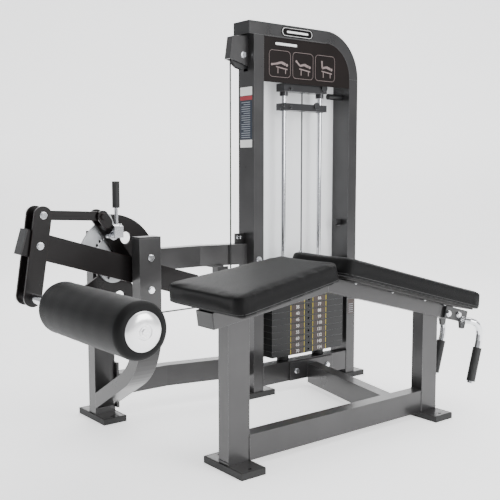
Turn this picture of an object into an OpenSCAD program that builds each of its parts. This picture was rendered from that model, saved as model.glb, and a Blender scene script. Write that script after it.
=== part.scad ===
// Lying leg curl machine: bench, roller arm with cam, and weight tower.
// Millimetres, +Z up, +X from the ankles to the hands, +Y from the bench to the tower.

/* [Frame tubes] */
// Wide side of the bench and arm tubes
tube_w = 82; // [70:1:90]
// Narrow side of all frame tubes
tube_t = 50; // [42:1:60]
// Wall thickness of all frame tubes
tube_wall = 3; // [2:0.5:4]
// Thickness of the welded flange and foot plates
plate_t = 9; // [6:1:11]

/* [Bench] */
// Distance between the outer faces of the two bench legs
bench_len = 981; // [900:1:1180]
// Height of the underside of the bench beam at its ridge
ridge_z = 524; // [480:1:560]
// Place of the ridge along the bench
ridge_x = 398; // [370:1:430]
// Fall of the thigh half towards the knees, in degrees
thigh_slope = 8.5; // [6:0.5:11]
// Fall of the chest half towards the hands, in degrees
chest_slope = 14.5; // [10:0.5:17]
// Thickness of both cushions
pad_t = 65; // [50:1:75]
// Width of the thigh cushion at the knees
thigh_pad_w = 402; // [340:2:430]
// Width of the chest cushion, and of the thigh cushion at the hips
chest_pad_w = 310; // [260:2:330]

/* [Weight tower] */
// Height of the whole machine
tower_h = 1500; // [1420:5:1800]
// Outer width of the tower
tower_w = 575; // [560:1:680]
// Front to back size of the tower uprights
upright_d = 99; // [92:1:115]
// Number of plates in the weight stack, without the head plate
plate_count = 13; // [9:1:15]
// Number of those plates held by the pin
pinned_count = 3; // [2:1:6]
// Height that one plate takes in the stack
plate_pitch = 26.6; // [24:0.1:30]
// Width of a plate
plate_w = 402; // [340:1:410]
// Front to back size of a plate
plate_d = 102; // [86:1:110]
// Diameter of the two guide rods
rod_d = 20; // [16:1:24]
// Distance between the two guide rods
rod_gap = 200; // [180:1:230]
// Diameter of the lifting cable
cable_d = 6; // [5:0.5:7]
// Diameter of the cable pulleys
pulley_d = 108; // [90:1:112]

/* [Roller arm] */
// Height of the main pivot
pivot_z = 577; // [560:1:595]
// Slope of the arm at rest, in degrees
arm_angle = 17; // [14:0.5:20]
// Diameter of the pivot shaft
shaft_d = 35; // [29:1:40]
// Radius of the cam's cable groove
cam_r = 188; // [170:1:196]
// Diameter of the ankle roller
roller_d = 152; // [120:1:170]
// Length of the ankle roller's foam
roller_len = 461; // [400:1:480]

/* [Hidden] */
$fn = 96;
eps = 0.01;
fit = 0.05;             // radial running clearance of pins and shafts
gap = 0.5;              // clearance between faces of different moving pieces
bolt_d = 12;
bolt_head_d = 24;
bolt_head_t = 8;

// feet
shoe_base = 13;
shoe_rim = 5;
foot_wid = tube_w;
foot_len = 188;
tower_foot_wid = 153;
tower_foot_len = 103;
leg_z = shoe_base + plate_t;
shoe_h = leg_z;

// bench, from the front left corner of the left leg
leg_right_x = bench_len - tube_w;
beam_y = (tube_t - tube_w) / 2;
mid_y = tube_t / 2;
knee_past = 59.58;        // the beam beyond the outer faces of the legs
hand_past = 57.819;
beam_left = ridge_x / cos(thigh_slope) + knee_past;
beam_right = (bench_len - ridge_x) / cos(chest_slope) + hand_past;
board_t = 12;
pad_under = 5;
board_inset = 24;
board_z = tube_t;
pad_z = tube_t + pad_under;
thigh_pad = [-beam_left - 16, -28];
chest_pad = [-40, beam_right + 38];
pad_corner = 42;

// tower
tower_x = 567.5;
tower_y = 588;
upright_right_x = tower_x + tower_w - tube_t;
tower_mid_x = tower_x + tower_w / 2;
corner_r = 190;
corner_in = corner_r - tube_t;
overhang = 20;
beam_z = tower_h - tube_t;
base_z = 42;
base_top = base_z + tube_w;
stack_y = 628;
stack_z = base_top + 29;
plate_body = plate_pitch - 0.6;
boss_w = 60;
stack_gap = 0.02;
held_from = plate_count - pinned_count;
stack_top = stack_z + plate_count * plate_pitch;
head_t = 40;
head_top = stack_top + head_t;
stem_h = 44;
rod_hole = rod_d + 1.2;
rod_bar_z = tower_h - 212;
rod_bar_t = 12;
rod_x = [tower_mid_x - rod_gap / 2, tower_mid_x + rod_gap / 2];
selector_d = 28;
selector_hole = selector_d + 2;
cable_bore = cable_d + 4;
pin_d = 9;
pin_hole = pin_d + 0.8;
pin_z = stack_z + (held_from + 0.5) * plate_pitch;
placard_low = 229;
placard_t = 4;
shroud_t = 3;

// pulleys and cable
pulley_r = pulley_d / 2;
pulley_w = 20;
groove_r = pulley_r - cable_d / 2 - 3;
run_r = groove_r + cable_d / 2 + 0.5;
axle_pin_d = 14;
rise_x = 490.5;
cable_y = 640;
cover_at = [rise_x + run_r, beam_z - 80];
low_at = [rise_x - run_r, 445];
centre_at = [tower_mid_x - run_r, beam_z - 80];
cam_bottom = pivot_z - cam_r - cable_d / 2 - 1;
cam_y = 655;

// posts of the pivot
post_x = -73;
post_mid_x = post_x + tube_w / 2;
front_post_y = 388;
rear_post_y = 722;
post_top = pivot_z + 119;
bend_r = 247;
bend_in = bend_r - tube_t;
bend_turn = 60;
bend_z = 381;
bolt_spread = 54;
bearing_hole = shaft_d + 22;
bearing_h = 130;

// side rails between the rear post and the tower
high_rail = [pivot_z - 32, 701, 371, 657];
low_rail = [84, 731, 232, 656];

// arm, measured from the main pivot: along the tube, or right and up
arm_y = 449;
arm_mid_y = arm_y + tube_t / 2;
arm_head = 427;
arm_tail = 228;
arm_reach = 380;
cap_t = 5;
crank_t = 10;
crank_y = arm_y + tube_t + 1;
disc_y = crank_y + crank_t + 2;
disc_t = 8;
disc_r = 213;
disc_from = 112;
disc_to = 172;
hub_r = 57;
cam_t = 10;
cam_rim = 8;
cam_from = -150;
cam_to = 95;

// selector, link, holder and roller, as [right, up] from the main pivot
index_r = 160;
index_angle = 126;
index_pitch = 6;
index_pin_d = 12;
index_hole = index_pin_d + 0.6;
link_at = [-136, 194];
crank_angle = atan2(link_at[1], link_at[0]);
crank_len = norm(link_at);
hinge_at = [-arm_reach * cos(arm_angle), arm_reach * sin(arm_angle)];
far_at = hinge_at + [13, 94];
axle_at = hinge_at + [-27, -160];
link_pin_d = 14;
link_w = 30;
link_t = 16;
link_y = arm_mid_y - link_t / 2;
link_play = 2.4;         // room at the end of the link that is left loose
holder_t = 9;
holder_w = 57;
holder_near = arm_y - gap - holder_t;
holder_far = arm_y + tube_t + gap;
front_crank_y = link_y - gap - crank_t;
lever_at = [-78, 156];
lever_y = 475;
lever_pin_d = 8;
lever_hub_d = 20;
lever_hub_w = 16;
lever_rod_d = 12;
grip_from = 64;
grip_len = 88;
finger_t = 8;
index_head_y = 450;
index_head_t = 2;
index_travel = 10.1;
housing_from = index_head_y + index_head_t + index_travel + 0.4;
axle_d = 30;
core_d = 46;
roller_near = -221;
roller_far = roller_near + roller_len;
roller_cap_d = 104;
dome_t = 11;
foam_edge = 22;

// middle of the machine's box, under which the origin stands
left_edge = post_mid_x + axle_at[0] - roller_d / 2;
right_edge = upright_right_x + tube_t / 2 + tower_foot_wid / 2 + shoe_rim;
near_edge = roller_near - dome_t;
far_edge = rear_post_y + tube_t / 2 + foot_len / 2 + shoe_rim;
origin_x = (left_edge + right_edge) / 2;
origin_y = (near_edge + far_edge) / 2;

steel_grey = [0.45, 0.46, 0.47];
arm_black = [0.2, 0.19, 0.19];
pad_black = [0.16, 0.16, 0.16];
plastic_black = [0.1, 0.1, 0.1];
chrome = [0.85, 0.86, 0.88];
zinc = [0.62, 0.63, 0.64];
stack_grey = [0.27, 0.28, 0.28];
board_brown = [0.16, 0.12, 0.11];
pale = [0.92, 0.93, 0.93];

// ---- frames of reference ----
module machine() {
    translate([-origin_x, -origin_y, 0]) children();
}
module at_pivot() {
    machine() translate([post_mid_x, 0, pivot_z]) children();
}
module along_arm() {
    at_pivot() rotate([0, arm_angle, 0]) children();
}
module thigh_frame() {
    machine() translate([ridge_x, 0, ridge_z]) rotate([0, -thigh_slope, 0]) children();
}
module chest_frame() {
    machine() translate([ridge_x, 0, ridge_z]) rotate([0, chest_slope, 0]) children();
}
// the origin at a point given as [right, up], with the drawing plane facing the viewer
module facing(at, y) {
    translate([at[0], y, at[1]]) children();
}

// ---- shared shapes ----
// a pin along +Y
module bar_y(d, len) {
    rotate([-90, 0, 0]) cylinder(d = d, h = len);
}
module bar_x(d, len) {
    rotate([0, 90, 0]) cylinder(d = d, h = len);
}
// a flat piece drawn as [right, up] and thickened along +Y
module slab_y(t) {
    translate([0, t, 0]) rotate([90, 0, 0]) linear_extrude(t) children();
}
// a square tube, open along the axis of the given number
module hollow(size, along) {
    from = [for (k = [0:2]) k == along ? -eps : tube_wall];
    difference() {
        cube(size);
        translate(from) cube([for (k = [0:2]) size[k] - 2 * from[k]]);
    }
}
module hollow_profile(w, t) {
    difference() {
        square([w, t]);
        translate([tube_wall, tube_wall]) square([w - 2 * tube_wall, t - 2 * tube_wall]);
    }
}
function unit(v) = v / norm(v);
function bend_at(p, a, b, r, steps) = [
    for (i = [0:steps])
        let (t = i / steps, s = p + r * unit(a - p), e = p + r * unit(b - p))
            (1 - t) * (1 - t) * s + 2 * t * (1 - t) * p + t * t * e
];
function rounded(pts, r) = [
    for (i = [0:len(pts) - 1])
        each bend_at(pts[i], pts[(i + len(pts) - 1) % len(pts)], pts[(i + 1) % len(pts)], r, 6)
];
// a flat bar between two points with round ends, a little wider than the bar
round_over = 0.6;
module strap(a, b, w, t) {
    run = b - a;
    slab_y(t) {
        translate(a) rotate(atan2(run[1], run[0])) translate([0, -w / 2]) square([norm(run), w]);
        translate(a) circle(d = w + round_over);
        translate(b) circle(d = w + round_over);
    }
}
// a bolt head standing on its local ground
module bolt_head(d, h) {
    cylinder(d = d, h = h * 0.35);
    translate([0, 0, h * 0.35]) cylinder(d = d * 0.86, h = h * 0.65, $fn = 6);
}
// a bolt head on a face that looks towards -Y
module bolt_near(x, y, z, d = bolt_head_d, h = bolt_head_t) {
    translate([x, y, z]) rotate([90, 0, 0]) bolt_head(d, h);
}
module plan_leg(from, to, h, before, after) {
    run = to - from;
    translate([from[0], from[1], 0]) rotate([0, 0, atan2(run[1], run[0])])
        translate([-before, -tube_t / 2, 0]) hollow([norm(run) + before + after, tube_t, h], 0);
}
function square_to(v) = [-v[1], v[0]] / norm(v);
// the outline of a band of the given half width along three points
function band(p, half) =
    let (
        n1 = square_to(p[1] - p[0]),
        n2 = square_to(p[2] - p[1]),
        mid = (n1 + n2) / (1 + n1 * n2)
    )
    [p[0] + half * n1, p[1] + half * mid, p[2] + half * n2,
        p[2] - half * n2, p[1] - half * mid, p[0] - half * n1];
// a rail that leaves the rear post straight and then bends towards the tower:
// [height, middle at the rear post, place of the bend, middle at the tower]
module bent_rail(rail, start_x) {
    bend = [rail[2], rail[1]];
    past = unit([tower_x, rail[3]] - bend) * tube_w;
    end = [tower_x, rail[3]] + past;
    machine() translate([0, 0, rail[0]]) difference() {
        linear_extrude(tube_w) polygon(band([[start_x, rail[1]], bend, end], tube_t / 2));
        translate([0, 0, tube_wall]) linear_extrude(tube_w - 2 * tube_wall)
            polygon(band([[start_x - 1, rail[1]], bend, end + past], tube_t / 2 - tube_wall));
        translate([tower_x, rail[3] - 2 * tube_w, -1]) cube([4 * tube_w, 4 * tube_w, tube_w + 2]);
    }
}
// a round bar swept along points
function ring_at(pts, i, r, sides) =
    let (
        p = pts[i],
        back = i > 0 ? unit(p - pts[i - 1]) : unit(pts[i + 1] - p),
        ahead = i < len(pts) - 1 ? unit(pts[i + 1] - p) : back,
        dir = unit(back + ahead),
        side = unit(cross(sweep_side, dir)),
        lift = cross(dir, side)
    )
    [for (k = [0:sides - 1]) p + r * (cos(360 * k / sides) * side + sin(360 * k / sides) * lift)];
sweep_side = [0.02, 1, 0.03];
module swept(pts, d, sides) {
    rings = len(pts);
    polyhedron(
        points = [for (i = [0:rings - 1]) each ring_at(pts, i, d / 2, sides)],
        faces = concat(
            [[for (k = [0:sides - 1]) k]],
            [for (i = [0:rings - 2], k = [0:sides - 1])
                let (a = i * sides + k, b = i * sides + (k + 1) % sides) [b, a, a + sides, b + sides]],
            [[for (k = [sides - 1:-1:0]) (rings - 1) * sides + k]]
        )
    );
}

// ---- bench ----
module bench_legs() {
    color(steel_grey) difference() {
        machine() for (x = [0, leg_right_x])
            translate([x, 0, leg_z]) hollow([tube_w, tube_t, ridge_z - leg_z + tube_t], 2);
        thigh_frame() translate([-2 * beam_left, -tube_w, 0]) cube([2 * beam_left, 3 * tube_w, 4 * tube_w]);
        chest_frame() translate([0, -tube_w, 0]) cube([2 * beam_right, 3 * tube_w, 5 * tube_w]);
    }
}
// cuts the bench beam at its ridge, on the side given
module ridge_cut(side) {
    machine() translate([ridge_x, -tube_w, ridge_z]) rotate([0, (chest_slope - thigh_slope) / 2, 0])
        translate([side > 0 ? 0 : -4 * tube_w, -tube_w, -2 * tube_w])
            cube([4 * tube_w, 4 * tube_w, 4 * tube_w]);
}
module thigh_beam() {
    color(steel_grey) difference() {
        thigh_frame() translate([-beam_left, beam_y, 0]) hollow([beam_left + tube_t, tube_w, tube_t], 0);
        ridge_cut(1);
    }
}
module chest_beam() {
    color(steel_grey) difference() {
        chest_frame() translate([-tube_t, beam_y, 0]) hollow([beam_right + tube_t, tube_w, tube_t], 0);
        ridge_cut(-1);
    }
}
module front_rail() {
    color(steel_grey) machine() translate([tube_w, 0, leg_z])
        hollow([leg_right_x - tube_w, tube_t, tube_w], 0);
}
cross_from = [leg_right_x - 141.5, tube_t];
cross_to = [tower_mid_x + 24, tower_y - plate_t];
flange_w = 244;
flange_h = 76;
flange_bolt_x = [34, flange_w - 34];
module cross_rail() {
    color(steel_grey) machine() {
        translate([0, 0, leg_z]) difference() {
            plan_leg(cross_from, cross_to, tube_w, tube_t, tube_t);
            translate([cross_from[0] - tube_w, -tube_w, -eps])
                cube([2 * tube_w, tube_w + tube_t, tube_w + 2 * eps]);
            translate([cross_to[0] - tube_w, cross_to[1], -eps])
                cube([2 * tube_w, tube_w, tube_w + 2 * eps]);
        }
        translate([cross_to[0] - flange_w / 2, cross_to[1], base_z + 1]) difference() {
            cube([flange_w, plate_t, flange_h]);
            for (x = flange_bolt_x)
                translate([x, -eps, flange_h / 2]) bar_y(bolt_d, plate_t + 2 * eps);
        }
    }
}

// ---- tower ----
module upright_left() {
    slot_low = cover_at[1] - pulley_r - 6;
    slot_h = tower_h - tube_t - slot_low - 8;
    color(steel_grey) difference() {
        machine() translate([tower_x, tower_y, leg_z]) hollow([tube_t, upright_d, beam_z - leg_z], 2);
        machine() translate([tower_x - eps, cable_y - pulley_w / 2 - 4, slot_low])
            cube([tube_wall + 2 * eps, pulley_w + 8, slot_h]);
        machine() translate([tower_x + tube_t - tube_wall - eps, cable_y - 15, cover_at[1] + run_r - 15])
            cube([tube_wall + 2 * eps, 30, 30]);
    }
}
module upright_right() {
    color(steel_grey) machine() translate([upright_right_x, tower_y, leg_z])
        hollow([tube_t, upright_d, tower_h - corner_r - leg_z], 2);
}
module top_beam() {
    color(steel_grey) machine() {
        translate([tower_x - overhang, tower_y, beam_z])
            hollow([tower_w + overhang - corner_r, upright_d, tube_t], 0);
        translate([tower_x + tower_w - corner_r, tower_y + upright_d, tower_h - corner_r])
            rotate([90, 0, 0]) rotate_extrude(angle = 90)
                translate([corner_in, 0]) hollow_profile(tube_t, upright_d);
    }
}
module base_beam() {
    color(steel_grey) machine() translate([tower_x + tube_t, tower_y, base_z])
        hollow([tower_w - 2 * tube_t, tube_t, tube_w], 0);
}
// a plate on the rear post's side that carries a rail
module side_flange(y, wide, z, tall) {
    machine() translate([post_x + tube_w, y, z]) cube([plate_t, wide, tall]);
}
high_flange_y = high_rail[1] - tube_t / 2;
low_flange_y = low_rail[1] - tube_t / 2;
low_flange_z = 38;
low_flange_h = 170;
lug_at = [tower_x - plate_t, high_rail[3] - 30, high_rail[0] + tube_w];
module upper_rail() {
    color(steel_grey) {
        bent_rail(high_rail, post_x + tube_w + plate_t);
        side_flange(high_flange_y, rear_post_y + tube_t - high_flange_y, high_rail[0] - 6, tube_w + 12);
        machine() translate(lug_at) difference() {
            translate([-34, 24, 0]) cube([34 + plate_t, 10, 42]);
            for (x = [-24, -8]) translate([x, 24 - eps, 26]) bar_y(8, 10 + 2 * eps);
        }
    }
}
module lower_rail() {
    color(steel_grey) {
        bent_rail(low_rail, post_x + tube_w + plate_t);
        side_flange(low_flange_y, rear_post_y + tube_t - low_flange_y, low_flange_z, low_flange_h);
    }
}

// ---- posts of the pivot ----
// the outline of the bent post, seen from its side as [back, up]
module post_outline(inset, past) {
    centre = [front_post_y + bend_r, bend_z];
    out = bend_r - inset;
    in = bend_in + inset;
    down = [sin(bend_turn), -cos(bend_turn)];
    end_y = rear_post_y + past;
    arc_steps = 12;
    far = 180 + bend_turn;
    out_end = centre + out * [cos(far), sin(far)];
    in_end = centre + in * [cos(far), sin(far)];
    polygon(concat(
        [[front_post_y + inset, post_top + past]],
        [for (k = [0:arc_steps]) let (a = 180 + bend_turn * k / arc_steps) centre + out * [cos(a), sin(a)]],
        [out_end + down * (end_y - out_end[0]) / down[0], in_end + down * (end_y - in_end[0]) / down[0]],
        [for (k = [arc_steps:-1:0]) let (a = 180 + bend_turn * k / arc_steps) centre + in * [cos(a), sin(a)]],
        [[front_post_y + tube_t - inset, post_top + past]]
    ));
}
module front_post() {
    color(steel_grey) difference() {
        machine() translate([post_x, 0, 0]) rotate([90, 0, 90]) linear_extrude(tube_w) post_outline(0, 0);
        machine() translate([post_x + tube_wall, 0, 0]) rotate([90, 0, 90])
            linear_extrude(tube_w - 2 * tube_wall) post_outline(tube_wall, 1);
        at_pivot() translate([0, front_post_y + tube_t - tube_wall - 1, 0])
            bar_y(bearing_hole, tube_wall + 2);
    }
}
module rear_post() {
    color(steel_grey) difference() {
        machine() translate([post_x, rear_post_y, leg_z]) hollow([tube_w, tube_t, post_top - leg_z], 2);
        at_pivot() translate([0, rear_post_y - eps, 0]) bar_y(bearing_hole, tube_wall + 2 * eps);
    }
}
module pivot_bearings() {
    color(zinc) at_pivot() for (y = [front_post_y, rear_post_y]) difference() {
        translate([tube_wall - tube_w / 2, y + tube_wall, -bearing_h / 2])
            cube([tube_w - 2 * tube_wall, tube_t - 2 * tube_wall, bearing_h]);
        translate([0, y, 0]) bar_y(shaft_d + 2 * fit, tube_t);
    }
}

// ---- caps, feet and fasteners ----
module tube_cap(w, t) {
    cube([w, t, cap_t]);
    translate([tube_wall, tube_wall, -12]) cube([w - 2 * tube_wall, t - 2 * tube_wall, 12]);
}
module tube_caps() {
    color(plastic_black) {
        thigh_frame() translate([-beam_left, beam_y, tube_t]) rotate([0, -90, 0])
            translate([-tube_t, 0, 0]) tube_cap(tube_t, tube_w);
        chest_frame() translate([beam_right, beam_y, tube_t]) rotate([0, 90, 0]) tube_cap(tube_t, tube_w);
        machine() for (y = [front_post_y, rear_post_y]) translate([post_x, y, post_top]) tube_cap(tube_w, tube_t);
        machine() translate([tower_x - overhang, tower_y, tower_h - tube_t]) rotate([0, -90, 0])
            tube_cap(tube_t, upright_d);
    }
}
feet = [
    [tube_w / 2, tube_t / 2, foot_wid, foot_len],
    [leg_right_x + tube_w / 2, tube_t / 2, foot_wid, foot_len],
    [post_mid_x, rear_post_y + tube_t / 2, foot_wid, foot_len],
    [tower_x + tube_t / 2, tower_y + upright_d / 2, tower_foot_wid, tower_foot_len],
    [upright_right_x + tube_t / 2, tower_y + upright_d / 2, tower_foot_wid, tower_foot_len]
];
foot_bolt_edge = 16;
module foot_holes(f) {
    long = f[2] > f[3] ? [f[2] / 2 - foot_bolt_edge, 0] : [0, f[3] / 2 - foot_bolt_edge];
    for (s = [-1, 1]) translate([s * long[0], s * long[1], -1]) cylinder(d = bolt_d, h = 2 * shoe_h);
}
module foot_plates() {
    color(steel_grey) machine() for (f = feet) {
        translate([f[0], f[1], shoe_base]) difference() {
            translate([-f[2] / 2, -f[3] / 2, 0]) cube([f[2], f[3], plate_t]);
            foot_holes(f);
        }
    }
}
module rubber_feet() {
    color(plastic_black) machine() for (f = feet) translate([f[0], f[1], 0]) difference() {
        translate([-f[2] / 2 - shoe_rim, -f[3] / 2 - shoe_rim, 0])
            cube([f[2] + 2 * shoe_rim, f[3] + 2 * shoe_rim, shoe_h]);
        translate([-f[2] / 2, -f[3] / 2, shoe_base]) cube([f[2], f[3], shoe_h]);
        foot_holes(f);
    }
}
handle_bolts = [[beam_right - 31, 20], [beam_right + 30, 24]];
module frame_bolts() {
    color(chrome) {
        machine() {
            for (x = flange_bolt_x)
                bolt_near(cross_to[0] - flange_w / 2 + x, cross_to[1], base_z + 1 + flange_h / 2);
            for (x = [-24, -8]) bolt_near(lug_at[0] + x, lug_at[1] + 24, lug_at[2] + 26, 15, 7);
            for (z = [low_flange_z + 20, low_flange_z + low_flange_h - 20])
                translate([post_x + tube_w + plate_t, rear_post_y + tube_t - 12, z]) rotate([0, 90, 0])
                    bolt_head(18, bolt_head_t);
            bolt_near(tower_x + tube_t / 2, tower_y, high_rail[0] + 20);
        }
        at_pivot() for (z = [-bolt_spread, bolt_spread]) bolt_near(2, front_post_y, z);
        chest_frame() for (b = handle_bolts) {
            bolt_near(b[0], beam_y - 10, b[1]);
            translate([b[0], beam_y + tube_w + 10, b[1]]) rotate([-90, 0, 0]) bolt_head(bolt_head_d, bolt_head_t);
        }
    }
}

// ---- cushions ----
module pad_outline(from, to, w_from, w_to, inset, r) {
    polygon(rounded([
        [from + inset, mid_y - w_from / 2 + inset], [to - inset, mid_y - w_to / 2 + inset],
        [to - inset, mid_y + w_to / 2 - inset], [from + inset, mid_y + w_from / 2 - inset]
    ], r));
}
module thigh_outline(inset, r) {
    pad_outline(thigh_pad[0], thigh_pad[1], thigh_pad_w, chest_pad_w, inset, r);
}
module chest_outline(inset, r) {
    pad_outline(chest_pad[0], chest_pad[1], chest_pad_w, chest_pad_w, inset, r);
}
module thigh_board() {
    thigh_frame() translate([0, 0, board_z]) linear_extrude(board_t) thigh_outline(board_inset, pad_corner / 2);
}
module chest_board() {
    chest_frame() translate([0, 0, board_z]) linear_extrude(board_t) chest_outline(board_inset, pad_corner / 2);
}
module pad_boards() {
    color([0.3, 0.24, 0.18]) {
        difference() {
            thigh_board();
            chest_frame() translate([-tube_w, beam_y - tube_w, -tube_w]) cube([3 * tube_w, 3 * tube_w, tube_w + tube_t]);
        }
        difference() {
            chest_board();
            thigh_frame() translate([-2 * tube_w, beam_y - tube_w, -tube_w])
                cube([3 * tube_w, 3 * tube_w, tube_w + tube_t]);
        }
    }
}
module thigh_pad() {
    color(pad_black) difference() {
        thigh_frame() translate([0, 0, pad_z]) linear_extrude(pad_t) thigh_outline(0, pad_corner);
        thigh_board();
    }
}
module chest_pad() {
    color(pad_black) difference() {
        chest_frame() translate([0, 0, pad_z]) linear_extrude(pad_t) chest_outline(0, pad_corner);
        chest_board();
    }
}

// ---- handles ----
bracket_t = 10;
bracket_x = [beam_right - 48, beam_right + 85];
handle_d = 25;
grip_d = 33;
handle_start = [beam_right + 64, 10];
handle_out = [
    [0, 0, 0], [0, -16, 0], [8, -27, -2], [24, -34, -8], [42, -35, -20],
    [54, -35, -38], [58, -35, -58], [55, -35, -84], [8, -35, -242]
];
function mirrored(pts) = [for (p = pts) [p[0], -p[1], p[2]]];
// the same path in the machine's frame, from the near side's bracket
handle_base = [
    ridge_x + handle_start[0] * cos(chest_slope) + handle_start[1] * sin(chest_slope),
    beam_y - bracket_t,
    ridge_z - handle_start[0] * sin(chest_slope) + handle_start[1] * cos(chest_slope)
];
handle_sides = 20;
grip_top = 0.16;
module handle_bracket() {
    color(plastic_black) chest_frame() for (y = [beam_y - bracket_t, beam_y + tube_w]) translate([0, y, 0])
        slab_y(bracket_t) polygon(rounded([
            [bracket_x[0], 0], [bracket_x[1] - 34, 0], [bracket_x[1] - 24, -26], [bracket_x[1] - 2, -22],
            [bracket_x[1], 46], [bracket_x[0], 48]
        ], 6));
}
module on_each_handle() {
    machine() translate(handle_base) children();
    machine() translate([0, 2 * mid_y, 0]) mirror([0, 1, 0]) translate(handle_base) children();
}
module handle_tubes() {
    color(chrome) on_each_handle() swept(handle_out, handle_d, handle_sides);
}
module handle_grips() {
    last = len(handle_out) - 1;
    run = handle_out[last] - handle_out[last - 1];
    from = handle_out[last - 1] + grip_top * run;
    len_grip = norm(run) * (1 - grip_top) - 8;
    color(plastic_black) on_each_handle() translate(from)
        rotate([0, acos(run[2] / norm(run)), atan2(run[1], run[0])]) difference() {
            cylinder(d = grip_d, h = len_grip);
            translate([0, 0, -eps]) cylinder(d = handle_d + 2 * fit, h = len_grip + 2 * eps);
        }
}

// ---- weight stack ----
module guide_rods() {
    color(chrome) machine() for (x = rod_x)
        translate([x, stack_y, base_top]) cylinder(d = rod_d, h = rod_bar_z + rod_bar_t - base_top);
}
module rod_bumpers() {
    color(plastic_black) machine() for (x = rod_x) translate([x, stack_y, base_top]) difference() {
        cylinder(d = 50, h = stack_z - base_top);
        translate([0, 0, -eps]) cylinder(d = rod_d, h = stack_z - base_top + 2 * eps);
    }
}
// one plate, with a small boss that spaces it from the next one
module stack_plate(z, h, top_boss) {
    translate([tower_mid_x, stack_y, z]) difference() {
        union() {
            translate([-plate_w / 2, -plate_d / 2, 0]) cube([plate_w, plate_d, h]);
            if (top_boss) translate([-boss_w, -boss_w / 2, h]) cube([2 * boss_w, boss_w, plate_pitch - plate_body - stack_gap]);
        }
        for (x = [-rod_gap / 2, rod_gap / 2])
            translate([x, 0, -eps]) cylinder(d = rod_hole, h = h + 1);
        translate([0, 0, -eps]) cylinder(d = selector_hole, h = h + 1);
        if (top_boss) translate([0, -plate_d / 2 - eps, plate_pitch / 2]) bar_y(pin_hole, plate_d / 2);
    }
}
module lower_plates() {
    color(stack_grey) machine() for (k = [0:held_from - 1])
        stack_plate(stack_z + k * plate_pitch, plate_body, true);
}
module upper_plates() {
    color(stack_grey) machine() for (k = [held_from:plate_count - 1])
        stack_plate(stack_z + k * plate_pitch, plate_body, true);
}
module head_plate() {
    color(stack_grey) machine() stack_plate(stack_top, head_t, false);
}
rod_low = 8;
lift_travel = 346;
module selector_rod() {
    color(chrome) machine() translate([tower_mid_x, stack_y, 0]) difference() {
        union() {
            translate([0, 0, stack_z + rod_low]) cylinder(d = selector_d, h = head_top - stack_z - rod_low);
            translate([0, 0, stack_top]) cylinder(d = selector_hole, h = head_t);
            translate([0, 0, head_top]) cylinder(d = 40, h = 14);
            translate([0, 0, head_top + 14]) cylinder(d = 24, h = stem_h - 14);
        }
        translate([0, 0, head_top + stem_h - lift_travel - 30])
            cylinder(d = cable_bore, h = lift_travel + 40);
        for (k = [0:plate_count - 1])
            translate([0, -selector_d, stack_z + (k + 0.5) * plate_pitch]) bar_y(pin_hole, 2 * selector_d);
    }
}
module weight_pin() {
    front = stack_y - plate_d / 2;
    color(chrome) machine() translate([tower_mid_x, 0, pin_z]) {
        translate([0, front - gap, 0]) bar_y(pin_d, plate_d / 2 + gap - cable_bore / 2 - 1);
        translate([0, front - 30 - gap, 0]) bar_y(26, 30);
    }
}
addon_low = tower_h - 334;
addon_high = tower_h - 258;
addon_w = 236;
addon_half = 26;
knob_h = stack_y - addon_half - tower_y - placard_t - 1;
module addon_bar(z, h, sleeve) {
    translate([tower_mid_x, stack_y, z]) difference() {
        union() {
            translate([-addon_w / 2, -addon_half, 0]) cube([addon_w, 2 * addon_half, h]);
            for (x = [-rod_gap / 2, rod_gap / 2]) translate([x, 0, -sleeve]) cylinder(d = rod_d + 14, h = h + sleeve);
        }
        for (x = [-rod_gap / 2, rod_gap / 2]) translate([x, 0, -sleeve - eps]) cylinder(d = rod_d, h = h + sleeve + 1);
        translate([0, 0, -eps]) cylinder(d = 30, h = h + 1);
    }
}
module addon_weights() {
    color(zinc) machine() {
        addon_bar(addon_high, 32, 18);
        addon_bar(addon_low, 28, 2);
        for (k = [[98, addon_high + 22, 30], [57, addon_low + 22, 30], [-86, addon_high + 10, 12], [-86, addon_low + 12, 12]])
            translate([tower_mid_x + k[0], stack_y - addon_half - knob_h, k[1]]) bar_y(k[2], knob_h);
    }
}
module placard() {
    low = tower_h - placard_low;
    color(board_brown) machine() translate([0, tower_y, 0]) slab_y(placard_t) difference() {
        translate([tower_x + tube_t, low]) square([tower_w - 2 * tube_t, beam_z - low]);
        difference() {
            translate([tower_x + tower_w - corner_r, tower_h - corner_r]) square(corner_r);
            translate([tower_x + tower_w - corner_r, tower_h - corner_r]) circle(r = corner_in - 0.2);
        }
    }
}
module rear_shroud() {
    low = base_top + 8;
    color(pale) machine() translate([0, tower_y + upright_d, 0]) slab_y(shroud_t) difference() {
        translate([tower_x + 8, low]) square([tower_w - 16, tower_h - 12 - low]);
        difference() {
            translate([tower_x + tower_w - corner_r, tower_h - corner_r]) square(corner_r);
            translate([tower_x + tower_w - corner_r, tower_h - corner_r]) circle(r = corner_r - 12);
        }
    }
}
peg_low_len = 30;
module storage_pegs() {
    color(plastic_black) machine() for (p = [[tower_h - 264, 80], [694, peg_low_len]])
        translate([upright_right_x - p[1], stack_y + 9, p[0]]) bar_x(25, p[1]);
}

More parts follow.
